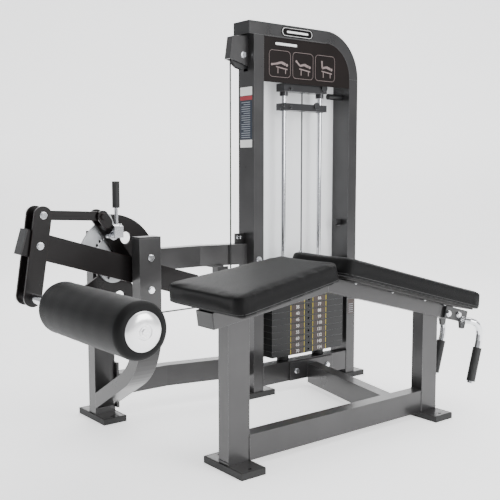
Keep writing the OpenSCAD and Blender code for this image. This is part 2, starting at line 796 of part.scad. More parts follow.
// ---- pulleys and cable ----
module pulley() {
    half = pulley_w / 2;
    rotate([-90, 0, 0]) rotate_extrude() polygon([
        [axle_pin_d / 2 + fit, -half], [pulley_r, -half], [pulley_r, 0.3 - half],
        [groove_r, -cable_d / 2 - 0.6], [groove_r, cable_d / 2 + 0.6],
        [pulley_r, half - 0.3], [pulley_r, half], [axle_pin_d / 2 + fit, half]
    ]);
}
module low_pulley() {
    color(plastic_black) machine() facing(low_at, cable_y) pulley();
}
module cover_pulley() {
    color(plastic_black) machine() facing(cover_at, cable_y) pulley();
}
module centre_pulley() {
    color(plastic_black) machine() facing(centre_at, stack_y) pulley();
}
cheek_t = 5;
cover_half = pulley_w / 2 + 3;
cover_shape = [
    [rise_x - 14, cover_at[1] - 18], [tower_x, cover_at[1] - 42],
    [tower_x, cover_at[1] + 78], [rise_x - 1, cover_at[1] + 68]
];
cover_hollow = [
    [rise_x - 12.5, cover_at[1] - 60], [tower_x + 1, cover_at[1] - 60],
    [tower_x + 1, cover_at[1] + 74], [rise_x + 0.5, cover_at[1] + 64]
];
// room for a pulley's axle through both cheeks
module axle_hole(at, y) {
    facing(at, y - 2 * cover_half) bar_y(axle_pin_d + 2 * fit, 4 * cover_half);
}
module pulley_cover() {
    color(steel_grey) machine() difference() {
        union() {
            for (y = [cable_y - cover_half - cheek_t, cable_y + cover_half]) translate([0, y, 0])
                slab_y(cheek_t) polygon(cover_shape);
            translate([0, cable_y - cover_half, 0]) slab_y(2 * cover_half) difference() {
                polygon(cover_shape);
                polygon(cover_hollow);
            }
        }
        axle_hole(cover_at, cable_y);
    }
}
hang_w = 52;
hang_root = 24;
module pulley_brackets() {
    low_h = high_rail[0] - low_at[1] + hang_w / 2;
    color(steel_grey) machine() {
        // lower pulley, hung from the upper rail
        difference() {
            translate([low_at[0] - hang_w / 2, 0, low_at[1] - hang_w / 2]) {
                for (y = [cable_y - cover_half - cheek_t, cable_y + cover_half])
                    translate([0, y, 0]) cube([hang_w, cheek_t, low_h]);
                translate([0, cable_y - cover_half, low_h - hang_root]) cube([hang_w / 2, 2 * cover_half, hang_root]);
                translate([0, cable_y + cover_half, low_h - cheek_t]) cube([hang_w, 60, cheek_t]);
            }
            axle_hole(low_at, cable_y);
        }
        // centre pulley, hung from the top beam
        difference() {
            for (y = [stack_y - cover_half - cheek_t, stack_y + cover_half])
                translate([centre_at[0] - hang_w / 2, y, centre_at[1] - hang_w / 2])
                    cube([hang_w, cheek_t, beam_z - centre_at[1] + hang_w / 2]);
            axle_hole(centre_at, stack_y);
        }
        // bar that holds the guide rods' upper ends
        translate([tower_x + tube_t, stack_y - rod_bar_w / 2, rod_bar_z]) difference() {
            cube([tower_w - 2 * tube_t, rod_bar_w, rod_bar_t]);
            for (x = [-rod_gap / 2, rod_gap / 2]) translate([tower_w / 2 - tube_t + x, rod_bar_w / 2, -1])
                cylinder(d = rod_d, h = rod_bar_t + 2);
            translate([tower_w / 2 - tube_t, rod_bar_w / 2, -1]) cylinder(d = rod_bar_w / 2, h = rod_bar_t + 2);
        }
    }
}
rod_bar_w = 44;
module axle_pin(at, y) {
    half = cover_half + cheek_t;
    machine() facing(at, y - half) bar_y(axle_pin_d, 2 * half);
    machine() facing(at, y - half) rotate([90, 0, 0]) bolt_head(bolt_head_d + 2, bolt_head_t);
}
module pulley_axles() {
    color(chrome) {
        axle_pin(low_at, cable_y);
        axle_pin(cover_at, cable_y);
        axle_pin(centre_at, stack_y);
    }
}
// an arc of cable round a centre, as points
function cable_arc(at, y, from, to, steps) = [
    for (i = [0:steps])
        let (a = from + (to - from) * i / steps) [at[0] + run_r * cos(a), y, at[1] + run_r * sin(a)]
];
cable_path = concat(
    [[post_mid_x, cam_y + 1, cam_bottom]],
    [[post_mid_x + 120, cam_y - 2, cam_bottom + (low_at[1] - run_r - cam_bottom) * 0.25]],
    cable_arc(low_at, cable_y, -90, 0, 9),
    cable_arc(cover_at, cable_y, 180, 90, 9),
    cable_arc(centre_at, stack_y, 90, 0, 9),
    [[tower_mid_x, stack_y, head_top + stem_h - 22]]
);
cable_sides = 8;
module lift_cable() {
    color(plastic_black) machine() swept(cable_path, cable_d, cable_sides);
}

// ---- roller arm ----
module arm_tube() {
    color(arm_black) difference() {
        along_arm() translate([-arm_head, arm_y, -tube_w / 2])
            hollow([arm_head + arm_tail, tube_t, tube_w], 0);
        at_pivot() translate([0, arm_y - 1, 0]) bar_y(shaft_d, tube_t + 2);
        at_pivot() facing(hinge_at, arm_y - 1) bar_y(link_pin_d + 2 * fit, tube_t + 2);
    }
}
module arm_caps() {
    color(plastic_black) along_arm() {
        translate([-arm_head, arm_y, -tube_w / 2]) rotate([0, -90, 0]) tube_cap(tube_w, tube_t);
        translate([arm_tail, arm_y, tube_w / 2]) rotate([0, 90, 0]) tube_cap(tube_w, tube_t);
    }
}
shaft_in = 10;
module pivot_shaft() {
    color(chrome) at_pivot() translate([0, front_post_y + shaft_in, 0])
        bar_y(shaft_d, rear_post_y + tube_t - front_post_y - 2 * shaft_in);
}
// a slice of a disc between two angles, as a drawing
module slice(r, from, to) {
    steps = ceil((to - from) / 30);
    intersection() {
        circle(r = r);
        polygon(concat([[0, 0]], [for (i = [0:steps]) let (a = from + (to - from) * i / steps)
            1.5 * r * [cos(a), sin(a)]]));
    }
}
module index_disc() {
    color(zinc) at_pivot() translate([0, disc_y, 0]) slab_y(disc_t) difference() {
        union() {
            slice(disc_r, disc_from, disc_to);
            circle(r = shaft_d / 2 + 14);
        }
        circle(d = shaft_d);
        for (k = [-1:6]) rotate(index_angle + k * index_pitch) translate([index_r, 0]) circle(d = index_hole);
    }
}
module cam_plate() {
    color(plastic_black) at_pivot() translate([0, cam_y, 0]) difference() {
        slab_y(cam_t) {
            slice(cam_r, cam_from, cam_to);
            circle(r = hub_r + 6);
        }
        translate([0, -1, 0]) bar_y(shaft_d, cam_t + 2);
        for (a = [-120, -75, -30, 15, 60])
            rotate([0, -a, 0]) translate([cam_r * 0.62, -1, 0]) bar_y(44, cam_t + 2);
    }
}
hub_t = 14;
module cam_hub() {
    color(zinc) at_pivot() translate([0, cam_y - hub_t, 0]) difference() {
        union() {
            bar_y(2 * hub_r, hub_t);
            translate([0, -16, 0]) bar_y(shaft_d + 16, 17);
        }
        translate([0, -17, 0]) bar_y(shaft_d, hub_t + 18);
        for (k = [0:5]) rotate([0, 60 * k, 0]) translate([hub_r - 14, -1, 0]) bar_y(10, hub_t + 2);
    }
}

// ---- selector, lever, link, holder and roller ----
function polar(r, a) = [r * cos(a), r * sin(a)];
front_from = 192;
module selector_crank() {
    color(arm_black) at_pivot() difference() {
        union() {
            translate([0, crank_y, 0]) strap([0, 0], link_at, 44, crank_t);
            translate([0, crank_y, 0]) bar_y(shaft_d + 22, crank_t);
            translate([0, front_crank_y, 0]) strap(polar(front_from + 20, crank_angle), link_at, 38, crank_t);
            rotate([0, -crank_angle, 0]) translate([front_from, front_crank_y + crank_t - eps, -16])
                cube([16, crank_y - front_crank_y - crank_t + 2 * eps, 32]);
        }
        translate([0, crank_y - 1, 0]) bar_y(shaft_d + 2 * fit, crank_t + 2);
        facing(polar(index_r, index_angle), crank_y - 1) bar_y(index_hole, crank_t + 2);
        facing(link_at, front_crank_y - 1) bar_y(link_pin_d, tube_w);
    }
    // bolt of the link, fixed in the crank
    color(chrome) at_pivot() {
        facing(link_at, front_crank_y) bar_y(link_pin_d, crank_y + crank_t - front_crank_y);
        facing(link_at, front_crank_y) rotate([90, 0, 0]) bolt_head(bolt_head_d, bolt_head_t);
    }
}
cheek_w = 8;
module pin_housing() {
    at = polar(index_r, index_angle);
    color(chrome) at_pivot() difference() {
        union() {
            facing(at, housing_from) bar_y(32, crank_y - housing_from);
            for (s = [-1, 1]) translate([lever_at[0] + s * (lever_hub_w / 2 + gap + cheek_w / 2) - cheek_w / 2, 0, 0])
                translate([0, lever_y - 9, at[1]]) cube([cheek_w, crank_y - lever_y + 9, lever_at[1] + 10 - at[1]]);
            translate([lever_at[0] - lever_hub_w / 2 - gap - cheek_w, lever_y + 14, at[1]])
                cube([lever_hub_w + 2 * gap + 2 * cheek_w, crank_y - lever_y - 14, lever_at[1] - at[1]]);
        }
        facing(at, housing_from - 1) bar_y(index_pin_d + 2 * fit, tube_w);
    }
    color(chrome) at_pivot() translate([lever_at[0] - lever_hub_w / 2 - gap - cheek_w, lever_y, lever_at[1]])
        bar_x(lever_pin_d, lever_hub_w + 2 * gap + 2 * cheek_w);
}
module release_lever() {
    at = polar(index_r, index_angle);
    color(chrome) at_pivot() difference() {
        union() {
            translate([lever_at[0] - lever_hub_w / 2, lever_y, lever_at[1]]) bar_x(lever_hub_d, lever_hub_w);
            translate([lever_at[0], lever_y, lever_at[1]]) cylinder(d = lever_rod_d, h = grip_from + grip_len - 6);
            translate([lever_at[0] - lever_hub_w / 2, index_head_y - gap - finger_t, lever_at[1] - 5])
                cube([lever_hub_w, lever_y - index_head_y + gap + finger_t, 10]);
            translate([at[0] - 8, index_head_y - gap - finger_t, at[1] - 7])
                cube([lever_at[0] + lever_hub_w / 2 - at[0] + 8, finger_t, lever_at[1] + 5 - at[1] + 7]);
        }
        translate([lever_at[0] - lever_hub_w, lever_y, lever_at[1]]) bar_x(lever_pin_d + 2 * fit, 2 * lever_hub_w);
    }
}
module lever_grip() {
    color(plastic_black) at_pivot() translate([lever_at[0], lever_y, lever_at[1] + grip_from]) difference() {
        cylinder(d = 25, h = grip_len);
        translate([0, 0, -eps]) cylinder(d = lever_rod_d, h = grip_len - 6 + eps);
    }
}
module index_pin() {
    at = polar(index_r, index_angle);
    color(chrome) at_pivot() {
        facing(at, index_head_y) bar_y(index_pin_d, disc_y - 0.3 - index_head_y);
        facing(at, index_head_y) bar_y(16, index_head_t);
    }
}
module link_bar() {
    color(arm_black) at_pivot() difference() {
        translate([0, link_y, 0]) strap(link_at, far_at, link_w, link_t);
        facing(link_at, link_y - 1) bar_y(link_pin_d + 2 * fit, link_t + 2);
        facing(far_at, link_y - 1) bar_y(link_pin_d + 2 * link_play, link_t + 2);
    }
}
module holder_plates() {
    color(arm_black) at_pivot() for (y = [holder_near, holder_far]) difference() {
        translate([0, y, 0]) strap(axle_at, far_at, holder_w, holder_t);
        for (at = [hinge_at, far_at]) facing(at, y - 1) bar_y(link_pin_d, holder_t + 2);
        facing(axle_at, y - 1) bar_y(axle_d, holder_t + 2);
    }
}
module holder_bolts() {
    color(chrome) at_pivot() for (at = [hinge_at, far_at]) {
        facing(at, holder_near) bar_y(link_pin_d, holder_far + holder_t - holder_near);
        facing(at, holder_near) rotate([90, 0, 0]) bolt_head(bolt_head_d, bolt_head_t);
        facing(at, holder_far + holder_t) rotate([-90, 0, 0]) bolt_head(bolt_head_d, bolt_head_t);
    }
}
module roller_axle() {
    color(chrome) at_pivot() facing(axle_at, roller_near + 6)
        bar_y(axle_d, holder_far + holder_t + 4 - roller_near - 6);
}
module roller_core() {
    color(plastic_black) at_pivot() facing(axle_at, roller_near) difference() {
        bar_y(core_d, roller_len);
        translate([0, -1, 0]) bar_y(axle_d + 2 * fit, roller_len + 2);
    }
}
module roller_foam() {
    r = roller_d / 2;
    color(pad_black) at_pivot() facing(axle_at, roller_near) rotate([-90, 0, 0]) rotate_extrude() polygon(concat(
        [[core_d / 2, 0]],
        [for (i = [0:6]) let (a = 90 * i / 6) [r - foam_edge + foam_edge * sin(a), foam_edge - foam_edge * cos(a)]],
        [for (i = [0:6]) let (a = 90 * i / 6)
            [r - foam_edge + foam_edge * cos(a), roller_len - foam_edge + foam_edge * sin(a)]],
        [[core_d / 2, roller_len]]
    ));
}
module roller_caps() {
    color(chrome) at_pivot() {
        facing(axle_at, roller_near) rotate([90, 0, 0]) {
            cylinder(d = roller_cap_d, h = dome_t * 0.45);
            cylinder(d = roller_cap_d * 0.7, h = dome_t * 0.75);
            cylinder(d = 22, h = dome_t, $fn = 6);
        }
        facing(axle_at, roller_far) difference() {
            bar_y(roller_cap_d * 0.8, 4);
            translate([0, -1, 0]) bar_y(axle_d + 2 * fit, 6);
        }
    }
}

bench_legs();
thigh_beam();
chest_beam();
front_rail();
cross_rail();
upright_left();
upright_right();
top_beam();
base_beam();
upper_rail();
lower_rail();
front_post();
rear_post();
tube_caps();
foot_plates();
rubber_feet();
pad_boards();
thigh_pad();
chest_pad();
handle_bracket();
handle_tubes();
handle_grips();
guide_rods();
rod_bumpers();
lower_plates();
addon_weights();
placard();
rear_shroud();
storage_pegs();
pulley_cover();
pulley_brackets();
pulley_axles();
lift_cable();
pivot_bearings();
frame_bolts();
arm_tube();
arm_caps();
pivot_shaft();
index_disc();
cam_plate();
cam_hub();
selector_crank();
pin_housing();
release_lever();
lever_grip();
index_pin();
link_bar();
holder_plates();
holder_bolts();
roller_axle();
roller_core();
roller_foam();
roller_caps();
head_plate();
selector_rod();
upper_plates();
weight_pin();
low_pulley();
cover_pulley();
centre_pulley();
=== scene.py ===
"""Looks for the lying leg curl machine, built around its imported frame."""

import logging
import math
import random
from dataclasses import dataclass, field
from enum import Enum
from typing import Dict, List, Sequence, Tuple

import bmesh
import bpy
from mathutils import Matrix, Vector
from mathutils.bvhtree import BVHTree


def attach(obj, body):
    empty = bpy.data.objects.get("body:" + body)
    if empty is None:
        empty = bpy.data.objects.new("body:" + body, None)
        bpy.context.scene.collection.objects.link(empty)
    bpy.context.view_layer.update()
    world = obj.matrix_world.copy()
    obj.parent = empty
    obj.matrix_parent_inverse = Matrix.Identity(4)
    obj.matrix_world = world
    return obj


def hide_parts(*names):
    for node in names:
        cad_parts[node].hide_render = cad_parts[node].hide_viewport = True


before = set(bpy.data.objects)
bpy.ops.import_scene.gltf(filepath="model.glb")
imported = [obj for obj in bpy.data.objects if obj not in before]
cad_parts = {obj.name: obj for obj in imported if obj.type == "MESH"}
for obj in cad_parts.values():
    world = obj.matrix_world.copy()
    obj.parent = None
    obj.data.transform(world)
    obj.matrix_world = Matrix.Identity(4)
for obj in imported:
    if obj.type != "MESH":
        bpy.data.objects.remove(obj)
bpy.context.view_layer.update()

LOG = logging.getLogger("leg_curl")
Colour = Tuple[float, float, float]
Outline = Sequence[Tuple[float, float]]
Mesh = bmesh.types.BMesh
Tree, Node, Socket = bpy.types.NodeTree, bpy.types.Node, bpy.types.NodeSocket
MM = 0.001
# middle of the machine's footprint, measured from the front left corner of its left leg
ORIGIN = Vector((0.3503021, 0.307, 0.0))
X, Y, Z = Vector((1, 0, 0)), Vector((0, 1, 0)), Vector((0, 0, 1))


class Grain(Enum):
    """Small relief of a finish."""

    SPRAY = "spray"
    LEATHER = "leather"
    CAST = "cast"
    BRUSHED = "brushed"
    FOAM = "foam"
    PLY = "ply"
    SMOOTH = "smooth"


# ---- shader groups ----
def new_group(
    name: str, inputs: Sequence[Tuple[str, str, object]], outputs: Sequence[Tuple[str, str]]
) -> Tuple[Tree, Node, Node]:
    """Makes a shader node group with named sockets.

    Args:
        name: The group's name.
        inputs: Socket type, name and default of every input.
        outputs: Socket type and name of every output.

    Returns:
        The group, its input node and its output node.
    """
    group = bpy.data.node_groups.new(name, "ShaderNodeTree")
    for kind, label, default in inputs:
        socket = group.interface.new_socket(label, in_out="INPUT", socket_type=kind)
        socket.default_value = default
    for kind, label in outputs:
        group.interface.new_socket(label, in_out="OUTPUT", socket_type=kind)
    source = group.nodes.new("NodeGroupInput")
    sink = group.nodes.new("NodeGroupOutput")
    return group, source, sink


FLOAT, COLOUR, VECTOR = "NodeSocketFloat", "NodeSocketColor", "NodeSocketVector"


def add_node(tree: Tree, kind: str, **values) -> Node:
    """Adds a node and sets its attributes.

    Args:
        tree: The tree to add to.
        kind: The node's type.
        **values: Attributes of the node.

    Returns:
        The node.
    """
    node = tree.nodes.new(kind)
    for key, value in values.items():
        setattr(node, key, value)
    return node


def maths(
    tree: Tree, operation: str, first, second=None, clamp: bool = False
) -> Socket:
    """Adds a math node fed by sockets or numbers.

    Args:
        tree: The tree to add to.
        operation: What the node works out.
        first: A socket or a number.
        second: A socket, a number or nothing.
        clamp: Whether the answer is kept between 0 and 1.

    Returns:
        The node's output socket.
    """
    node = add_node(tree, "ShaderNodeMath", operation=operation, use_clamp=clamp)
    for slot, value in enumerate((first, second)):
        if value is None:
            continue
        if isinstance(value, (int, float)):
            node.inputs[slot].default_value = value
        else:
            tree.links.new(value, node.inputs[slot])
    return node.outputs[0]


def texture(tree: Tree, kind: str, **values) -> Node:
    """Adds a node that reads the object's own coordinates."""
    node = add_node(tree, kind, **values)
    coords = add_node(tree, "ShaderNodeTexCoord")
    tree.links.new(coords.outputs["Object"], node.inputs["Vector"])
    return node


class Effects:
    """The shared shader groups."""

    def __init__(self) -> None:
        """Makes every group once."""
        self.edge = self._edge()
        self.mottle = self._mottle()
        self.relief: Dict[Grain, Tree] = {
            Grain.SPRAY: self._noise_relief("SprayRelief", 1.0, 3.0, 0.35),
            Grain.CAST: self._noise_relief("CastRelief", 0.6, 6.0, 0.7),
            Grain.FOAM: self._cells("FoamRelief", 0.9),
            Grain.LEATHER: self._cells("LeatherRelief", 0.35),
            Grain.BRUSHED: self._brushed(),
            Grain.PLY: self._ply(),
        }

    def _edge(self) -> Tree:
        """Mask of the outer edges for a painted highlight, and a normal that rounds them."""
        group, source, sink = new_group(
            "EdgeHighlight",
            [(FLOAT, "Radius", 0.002), (FLOAT, "Breakup", 120.0)],
            [(FLOAT, "Mask"), (VECTOR, "Normal")],
        )
        bevel = add_node(group, "ShaderNodeBevel", samples=4)
        geometry = add_node(group, "ShaderNodeNewGeometry")
        dot = add_node(group, "ShaderNodeVectorMath", operation="DOT_PRODUCT")
        noise = texture(group, "ShaderNodeTexNoise")
        noise.inputs["Detail"].default_value = 4.0
        links = group.links
        links.new(source.outputs["Radius"], bevel.inputs["Radius"])
        links.new(bevel.outputs["Normal"], dot.inputs[0])
        links.new(geometry.outputs["Normal"], dot.inputs[1])
        links.new(source.outputs["Breakup"], noise.inputs["Scale"])
        # how far the bevel bends the normal marks the edges that take the painted highlight
        bent = maths(group, "SUBTRACT", 1.0, dot.outputs["Value"])
        strong = maths(group, "MULTIPLY", bent, 6.0, clamp=True)
        broken = maths(group, "MULTIPLY", noise.outputs["Fac"], 1.5, clamp=True)
        mask = maths(group, "MULTIPLY", strong, broken, clamp=True)
        links.new(mask, sink.inputs["Mask"])
        links.new(bevel.outputs["Normal"], sink.inputs["Normal"])
        return group

    def _mottle(self) -> Tree:
        """Slow change of colour and gloss over a surface, with settled dust on top faces."""
        group, source, sink = new_group(
            "Mottle",
            [
                (COLOUR, "Colour", (0.5, 0.5, 0.5, 1.0)),
                (COLOUR, "Dust", (0.42, 0.4, 0.37, 1.0)),
                (FLOAT, "Roughness", 0.4),
                (FLOAT, "Amount", 0.15),
                (FLOAT, "Scale", 9.0),
            ],
            [(COLOUR, "Colour"), (FLOAT, "Roughness")],
        )
        links = group.links
        broad = texture(group, "ShaderNodeTexNoise")
        broad.inputs["Detail"].default_value = 5.0
        fine = texture(group, "ShaderNodeTexNoise")
        fine.inputs["Scale"].default_value = 260.0
        geometry = add_node(group, "ShaderNodeNewGeometry")
        split = add_node(group, "ShaderNodeSeparateXYZ")
        links.new(source.outputs["Scale"], broad.inputs["Scale"])
        links.new(geometry.outputs["Normal"], split.inputs[0])
        up = maths(group, "POWER", maths(group, "MAXIMUM", split.outputs["Z"], 0.0), 4.0)
        amount = source.outputs["Amount"]
        dusty = maths(group, "MULTIPLY", maths(group, "MULTIPLY", up, fine.outputs["Fac"]), amount)
        swing = maths(group, "MULTIPLY", maths(group, "SUBTRACT", broad.outputs["Fac"], 0.5), amount)
        tint = add_node(group, "ShaderNodeVectorMath", operation="SCALE")
        links.new(source.outputs["Colour"], tint.inputs[0])
        links.new(maths(group, "ADD", 1.0, maths(group, "MULTIPLY", swing, 3.0)), tint.inputs["Scale"])
        mix = add_node(group, "ShaderNodeMix", data_type="RGBA")
        links.new(maths(group, "MULTIPLY", dusty, 0.35, clamp=True), mix.inputs["Factor"])
        links.new(tint.outputs[0], mix.inputs[6])
        links.new(source.outputs["Dust"], mix.inputs[7])
        links.new(mix.outputs[2], sink.inputs["Colour"])
        uneven = maths(group, "ADD", swing, dusty)
        rough = maths(group, "ADD", source.outputs["Roughness"], uneven, clamp=True)
        links.new(rough, sink.inputs["Roughness"])
        return group

    def _noise_relief(self, name: str, share: float, detail: float, rough: float) -> Tree:
        """Fine bumps such as orange peel or cast skin.

        Args:
            name: The group's name.
            share: Height of the bumps.
            detail: Number of finer layers of noise.
            rough: Strength of the finer layers.

        Returns:
            The group.
        """
        group, source, sink = new_group(name, [(FLOAT, "Scale", 400.0)], [(FLOAT, "Height")])
        noise = texture(group, "ShaderNodeTexNoise")
        noise.inputs["Detail"].default_value = detail
        noise.inputs["Roughness"].default_value = rough
        group.links.new(source.outputs["Scale"], noise.inputs["Scale"])
        group.links.new(maths(group, "MULTIPLY", noise.outputs["Fac"], share), sink.inputs["Height"])
        return group

    def _cells(self, name: str, soften: float) -> Tree:
        """Cells with creases between them, for faux leather and foam skin.

        Args:
            name: The group's name.
            soften: Width of a crease, as a share of a cell.

        Returns:
            The group.
        """
        group, source, sink = new_group(name, [(FLOAT, "Scale", 400.0)], [(FLOAT, "Height")])
        wobble = texture(group, "ShaderNodeTexNoise")
        wobble.inputs["Scale"].default_value = 40.0
        cells = add_node(group, "ShaderNodeTexVoronoi", feature="DISTANCE_TO_EDGE")
        mixer = add_node(group, "ShaderNodeVectorMath", operation="MULTIPLY_ADD")
        coords = add_node(group, "ShaderNodeTexCoord")
        mixer.inputs[1].default_value = (0.004, 0.004, 0.004)
        links = group.links
        links.new(wobble.outputs["Color"], mixer.inputs[0])
        links.new(coords.outputs["Object"], mixer.inputs[2])
        links.new(mixer.outputs[0], cells.inputs["Vector"])
        links.new(source.outputs["Scale"], cells.inputs["Scale"])
        crease = maths(group, "MULTIPLY", cells.outputs["Distance"], 1.0 / soften, clamp=True)
        both = maths(group, "ADD", crease, maths(group, "MULTIPLY", wobble.outputs["Fac"], 0.6))
        links.new(both, sink.inputs["Height"])
        return group

    def _brushed(self) -> Tree:
        """Long fine streaks."""
        group, source, sink = new_group("BrushedRelief", [(FLOAT, "Scale", 60.0)], [(FLOAT, "Height")])
        stretch = texture(group, "ShaderNodeMapping")
        stretch.inputs["Scale"].default_value = (1.0, 14.0, 14.0)
        noise = add_node(group, "ShaderNodeTexNoise")
        noise.inputs["Detail"].default_value = 6.0
        group.links.new(stretch.outputs[0], noise.inputs["Vector"])
        group.links.new(source.outputs["Scale"], noise.inputs["Scale"])
        group.links.new(noise.outputs["Fac"], sink.inputs["Height"])
        return group

    def _ply(self) -> Tree:
        """Layers of veneer seen at the edge of a board."""
        group, source, sink = new_group("PlyRelief", [(FLOAT, "Scale", 300.0)], [(FLOAT, "Height")])
        wave = texture(group, "ShaderNodeTexWave", bands_direction="Z")
        wave.inputs["Distortion"].default_value = 1.5
        group.links.new(source.outputs["Scale"], wave.inputs["Scale"])
        group.links.new(wave.outputs["Fac"], sink.inputs["Height"])
        return group


# ---- finishes ----
@dataclass(frozen=True)
class Finish:
    """One surface finish, from which a material is made once."""

    name: str
    colour: Colour
    roughness: float = 0.4
    metallic: float = 0.0
    coat: float = 0.0
    grain: Grain = Grain.SPRAY
    scale: float = 500.0
    depth: float = 0.15
    change: float = 0.15
    # painted highlight on the outer edges: its strength and its colour
    wear: float = 0.0
    wear_colour: Colour = (0.45, 0.45, 0.45)
    edge_radius: float = 0.0015
    specular: float = 0.5
    alpha: float = 1.0
    glow: float = 0.0

    def material(self, effects: Effects) -> bpy.types.Material:
        """Makes or finds the material of this finish.

        Args:
            effects: The shared shader groups.

        Returns:
            The material.
        """
        label = f"look_{self.name}"
        known = bpy.data.materials.get(label)
        if known:
            return known
        made = bpy.data.materials.new(label)
        made.use_nodes = True
        made.diffuse_color = (*self.colour, 1.0)
        tree = made.node_tree
        shader = next(n for n in tree.nodes if n.type == "BSDF_PRINCIPLED")
        for socket, value in (
            ("Metallic", self.metallic),
            ("Coat Weight", self.coat),
            ("Coat Roughness", 0.12),
            ("Specular IOR Level", self.specular),
            ("Alpha", self.alpha),
            ("Emission Color", (1.0, 1.0, 1.0, 1.0)),
            ("Emission Strength", self.glow),
        ):
            shader.inputs[socket].default_value = value
        mottle = add_node(tree, "ShaderNodeGroup", node_tree=effects.mottle)
        mottle.inputs["Colour"].default_value = (*self.colour, 1.0)
        mottle.inputs["Roughness"].default_value = self.roughness
        mottle.inputs["Amount"].default_value = self.change
        colour, normal = self._edges(tree, effects, mottle.outputs["Colour"])
        normal = self._relief(tree, effects, normal)
        tree.links.new(colour, shader.inputs["Base Color"])
        tree.links.new(mottle.outputs["Roughness"], shader.inputs["Roughness"])
        if normal is not None:
            tree.links.new(normal, shader.inputs["Normal"])
        return made

    def _edges(self, tree: Tree, effects: Effects, colour: Socket) -> tuple:
        """Rounds the edges and paints a highlight into their colour.

        Returns:
            The colour's socket, and the normal's or None.
        """
        if self.edge_radius <= 0:
            return colour, None
        edge = add_node(tree, "ShaderNodeGroup", node_tree=effects.edge)
        edge.inputs["Radius"].default_value = self.edge_radius
        # outer edges made lighter in colour: a painted highlight
        if self.wear > 0:
            mix = add_node(tree, "ShaderNodeMix", data_type="RGBA")
            highlit = maths(tree, "MULTIPLY", edge.outputs["Mask"], self.wear, clamp=True)
            tree.links.new(highlit, mix.inputs["Factor"])
            tree.links.new(colour, mix.inputs[6])
            mix.inputs[7].default_value = (*self.wear_colour, 1.0)
            colour = mix.outputs[2]
        return colour, edge.outputs["Normal"]

    def _relief(self, tree: Tree, effects: Effects, normal):
        """Adds the finish's small relief.

        Returns:
            The normal's socket, or None where nothing bends it.
        """
        if self.grain not in effects.relief:
            return normal
        relief = add_node(tree, "ShaderNodeGroup", node_tree=effects.relief[self.grain])
        relief.inputs["Scale"].default_value = self.scale
        bump = add_node(tree, "ShaderNodeBump")
        bump.inputs["Strength"].default_value = self.depth
        bump.inputs["Distance"].default_value = 0.0006
        tree.links.new(relief.outputs["Height"], bump.inputs["Height"])
        if normal is not None:
            tree.links.new(normal, bump.inputs["Normal"])
        return bump.outputs["Normal"]


def printed(name: str, colour: Colour, roughness: float = 0.45, **more: float) -> Finish:
    """A smooth printed or moulded finish.

    Args:
        name: The finish's name.
        colour: Its colour.
        roughness: Its roughness.
        **more: Other values of the finish.

    Returns:
        The finish.
    """
    return Finish(name, colour, roughness, grain=Grain.SMOOTH, edge_radius=0.0, **more)


# the lighter edge colours set below are painted highlights on the outer edges
FRAME_PAINT = Finish(
    "frame_paint", (0.052, 0.051, 0.0515), 0.3, metallic=0.6, coat=0.3, depth=0.08,
    wear=0.6, wear_colour=(0.32, 0.32, 0.32),
)
ARM_PAINT = Finish(
    "arm_paint", (0.005, 0.0038, 0.0038), 0.3, metallic=0.15, coat=0.1, depth=0.08,
    wear=0.35, wear_colour=(0.12, 0.04, 0.03), specular=0.25,
)
BRACKET_PAINT = Finish("bracket_paint", (0.012, 0.012, 0.013), 0.35, metallic=0.1, coat=0.3, wear=0.3)
CHROME = Finish(
    "chrome", (0.78, 0.79, 0.81), 0.12, metallic=1.0, grain=Grain.SMOOTH, change=0.06, edge_radius=0.0008
)
ADDON_STEEL = Finish(
    "addon_steel", (0.05, 0.05, 0.052), 0.3, metallic=0.7, coat=0.1, grain=Grain.CAST, scale=380.0,
    depth=0.12, wear=0.5,
)
ZINC = Finish(
    "zinc_steel", (0.42, 0.43, 0.44), 0.33, metallic=0.9, grain=Grain.BRUSHED, scale=90.0, depth=0.12,
    wear=0.4, wear_colour=(0.7, 0.7, 0.7),
)
STACK_IRON = Finish(
    "stack_iron", (0.013, 0.0132, 0.0135), 0.42, metallic=0.25, grain=Grain.CAST, scale=320.0,
    depth=0.3, wear=0.5,
)
LEATHER = Finish(
    "pad_leather", (0.0028, 0.0028, 0.003), 0.5, grain=Grain.LEATHER, scale=620.0, depth=0.3,
    change=0.06, edge_radius=0.0, specular=0.14,
)
FOAM = Finish(
    "roller_foam", (0.0028, 0.0028, 0.003), 0.5, grain=Grain.FOAM, scale=900.0, depth=0.35,
    change=0.08, edge_radius=0.0, specular=0.16,
)
PLY = Finish("board_wood", (0.012, 0.011, 0.0105), 0.6, grain=Grain.PLY, scale=160.0, depth=0.4)
PLASTIC = Finish("black_plastic", (0.007, 0.007, 0.0075), 0.42, coat=0.1, scale=700.0, depth=0.25, wear=0.15)
RUBBER = Finish(
    "shoe_rubber", (0.008, 0.008, 0.008), 0.62, grain=Grain.CAST, scale=600.0, depth=0.35, change=0.25
)
GRIP = Finish("grip_rubber", (0.008, 0.008, 0.008), 0.58, grain=Grain.FOAM, scale=1100.0, depth=0.5)
ENAMEL = Finish("placard", (0.005, 0.0026, 0.0022), 0.45, depth=0.05, wear=0.05, specular=0.18)
SHEET = Finish("shroud", (0.93, 0.94, 0.95), 0.5, grain=Grain.SMOOTH, change=0.03, alpha=0.7)
CABLE = Finish("cable_jacket", (0.012, 0.012, 0.012), 0.35, coat=0.3, scale=900.0, depth=0.3, edge_radius=0.0)
CAP_WHITE = Finish(
    "cap_metal", (0.93, 0.93, 0.94), 0.2, metallic=0.7, coat=0.2, grain=Grain.BRUSHED, scale=200.0,
    depth=0.05, edge_radius=0.0,
)
LINE_PINK = printed("placard_line", (0.2, 0.155, 0.15), 0.5)
BADGE_DARK = printed("badge_dark", (0.003, 0.0025, 0.0025), 0.6, specular=0.1)
MARK_WHITE = printed("mark_white", (0.8, 0.8, 0.79))
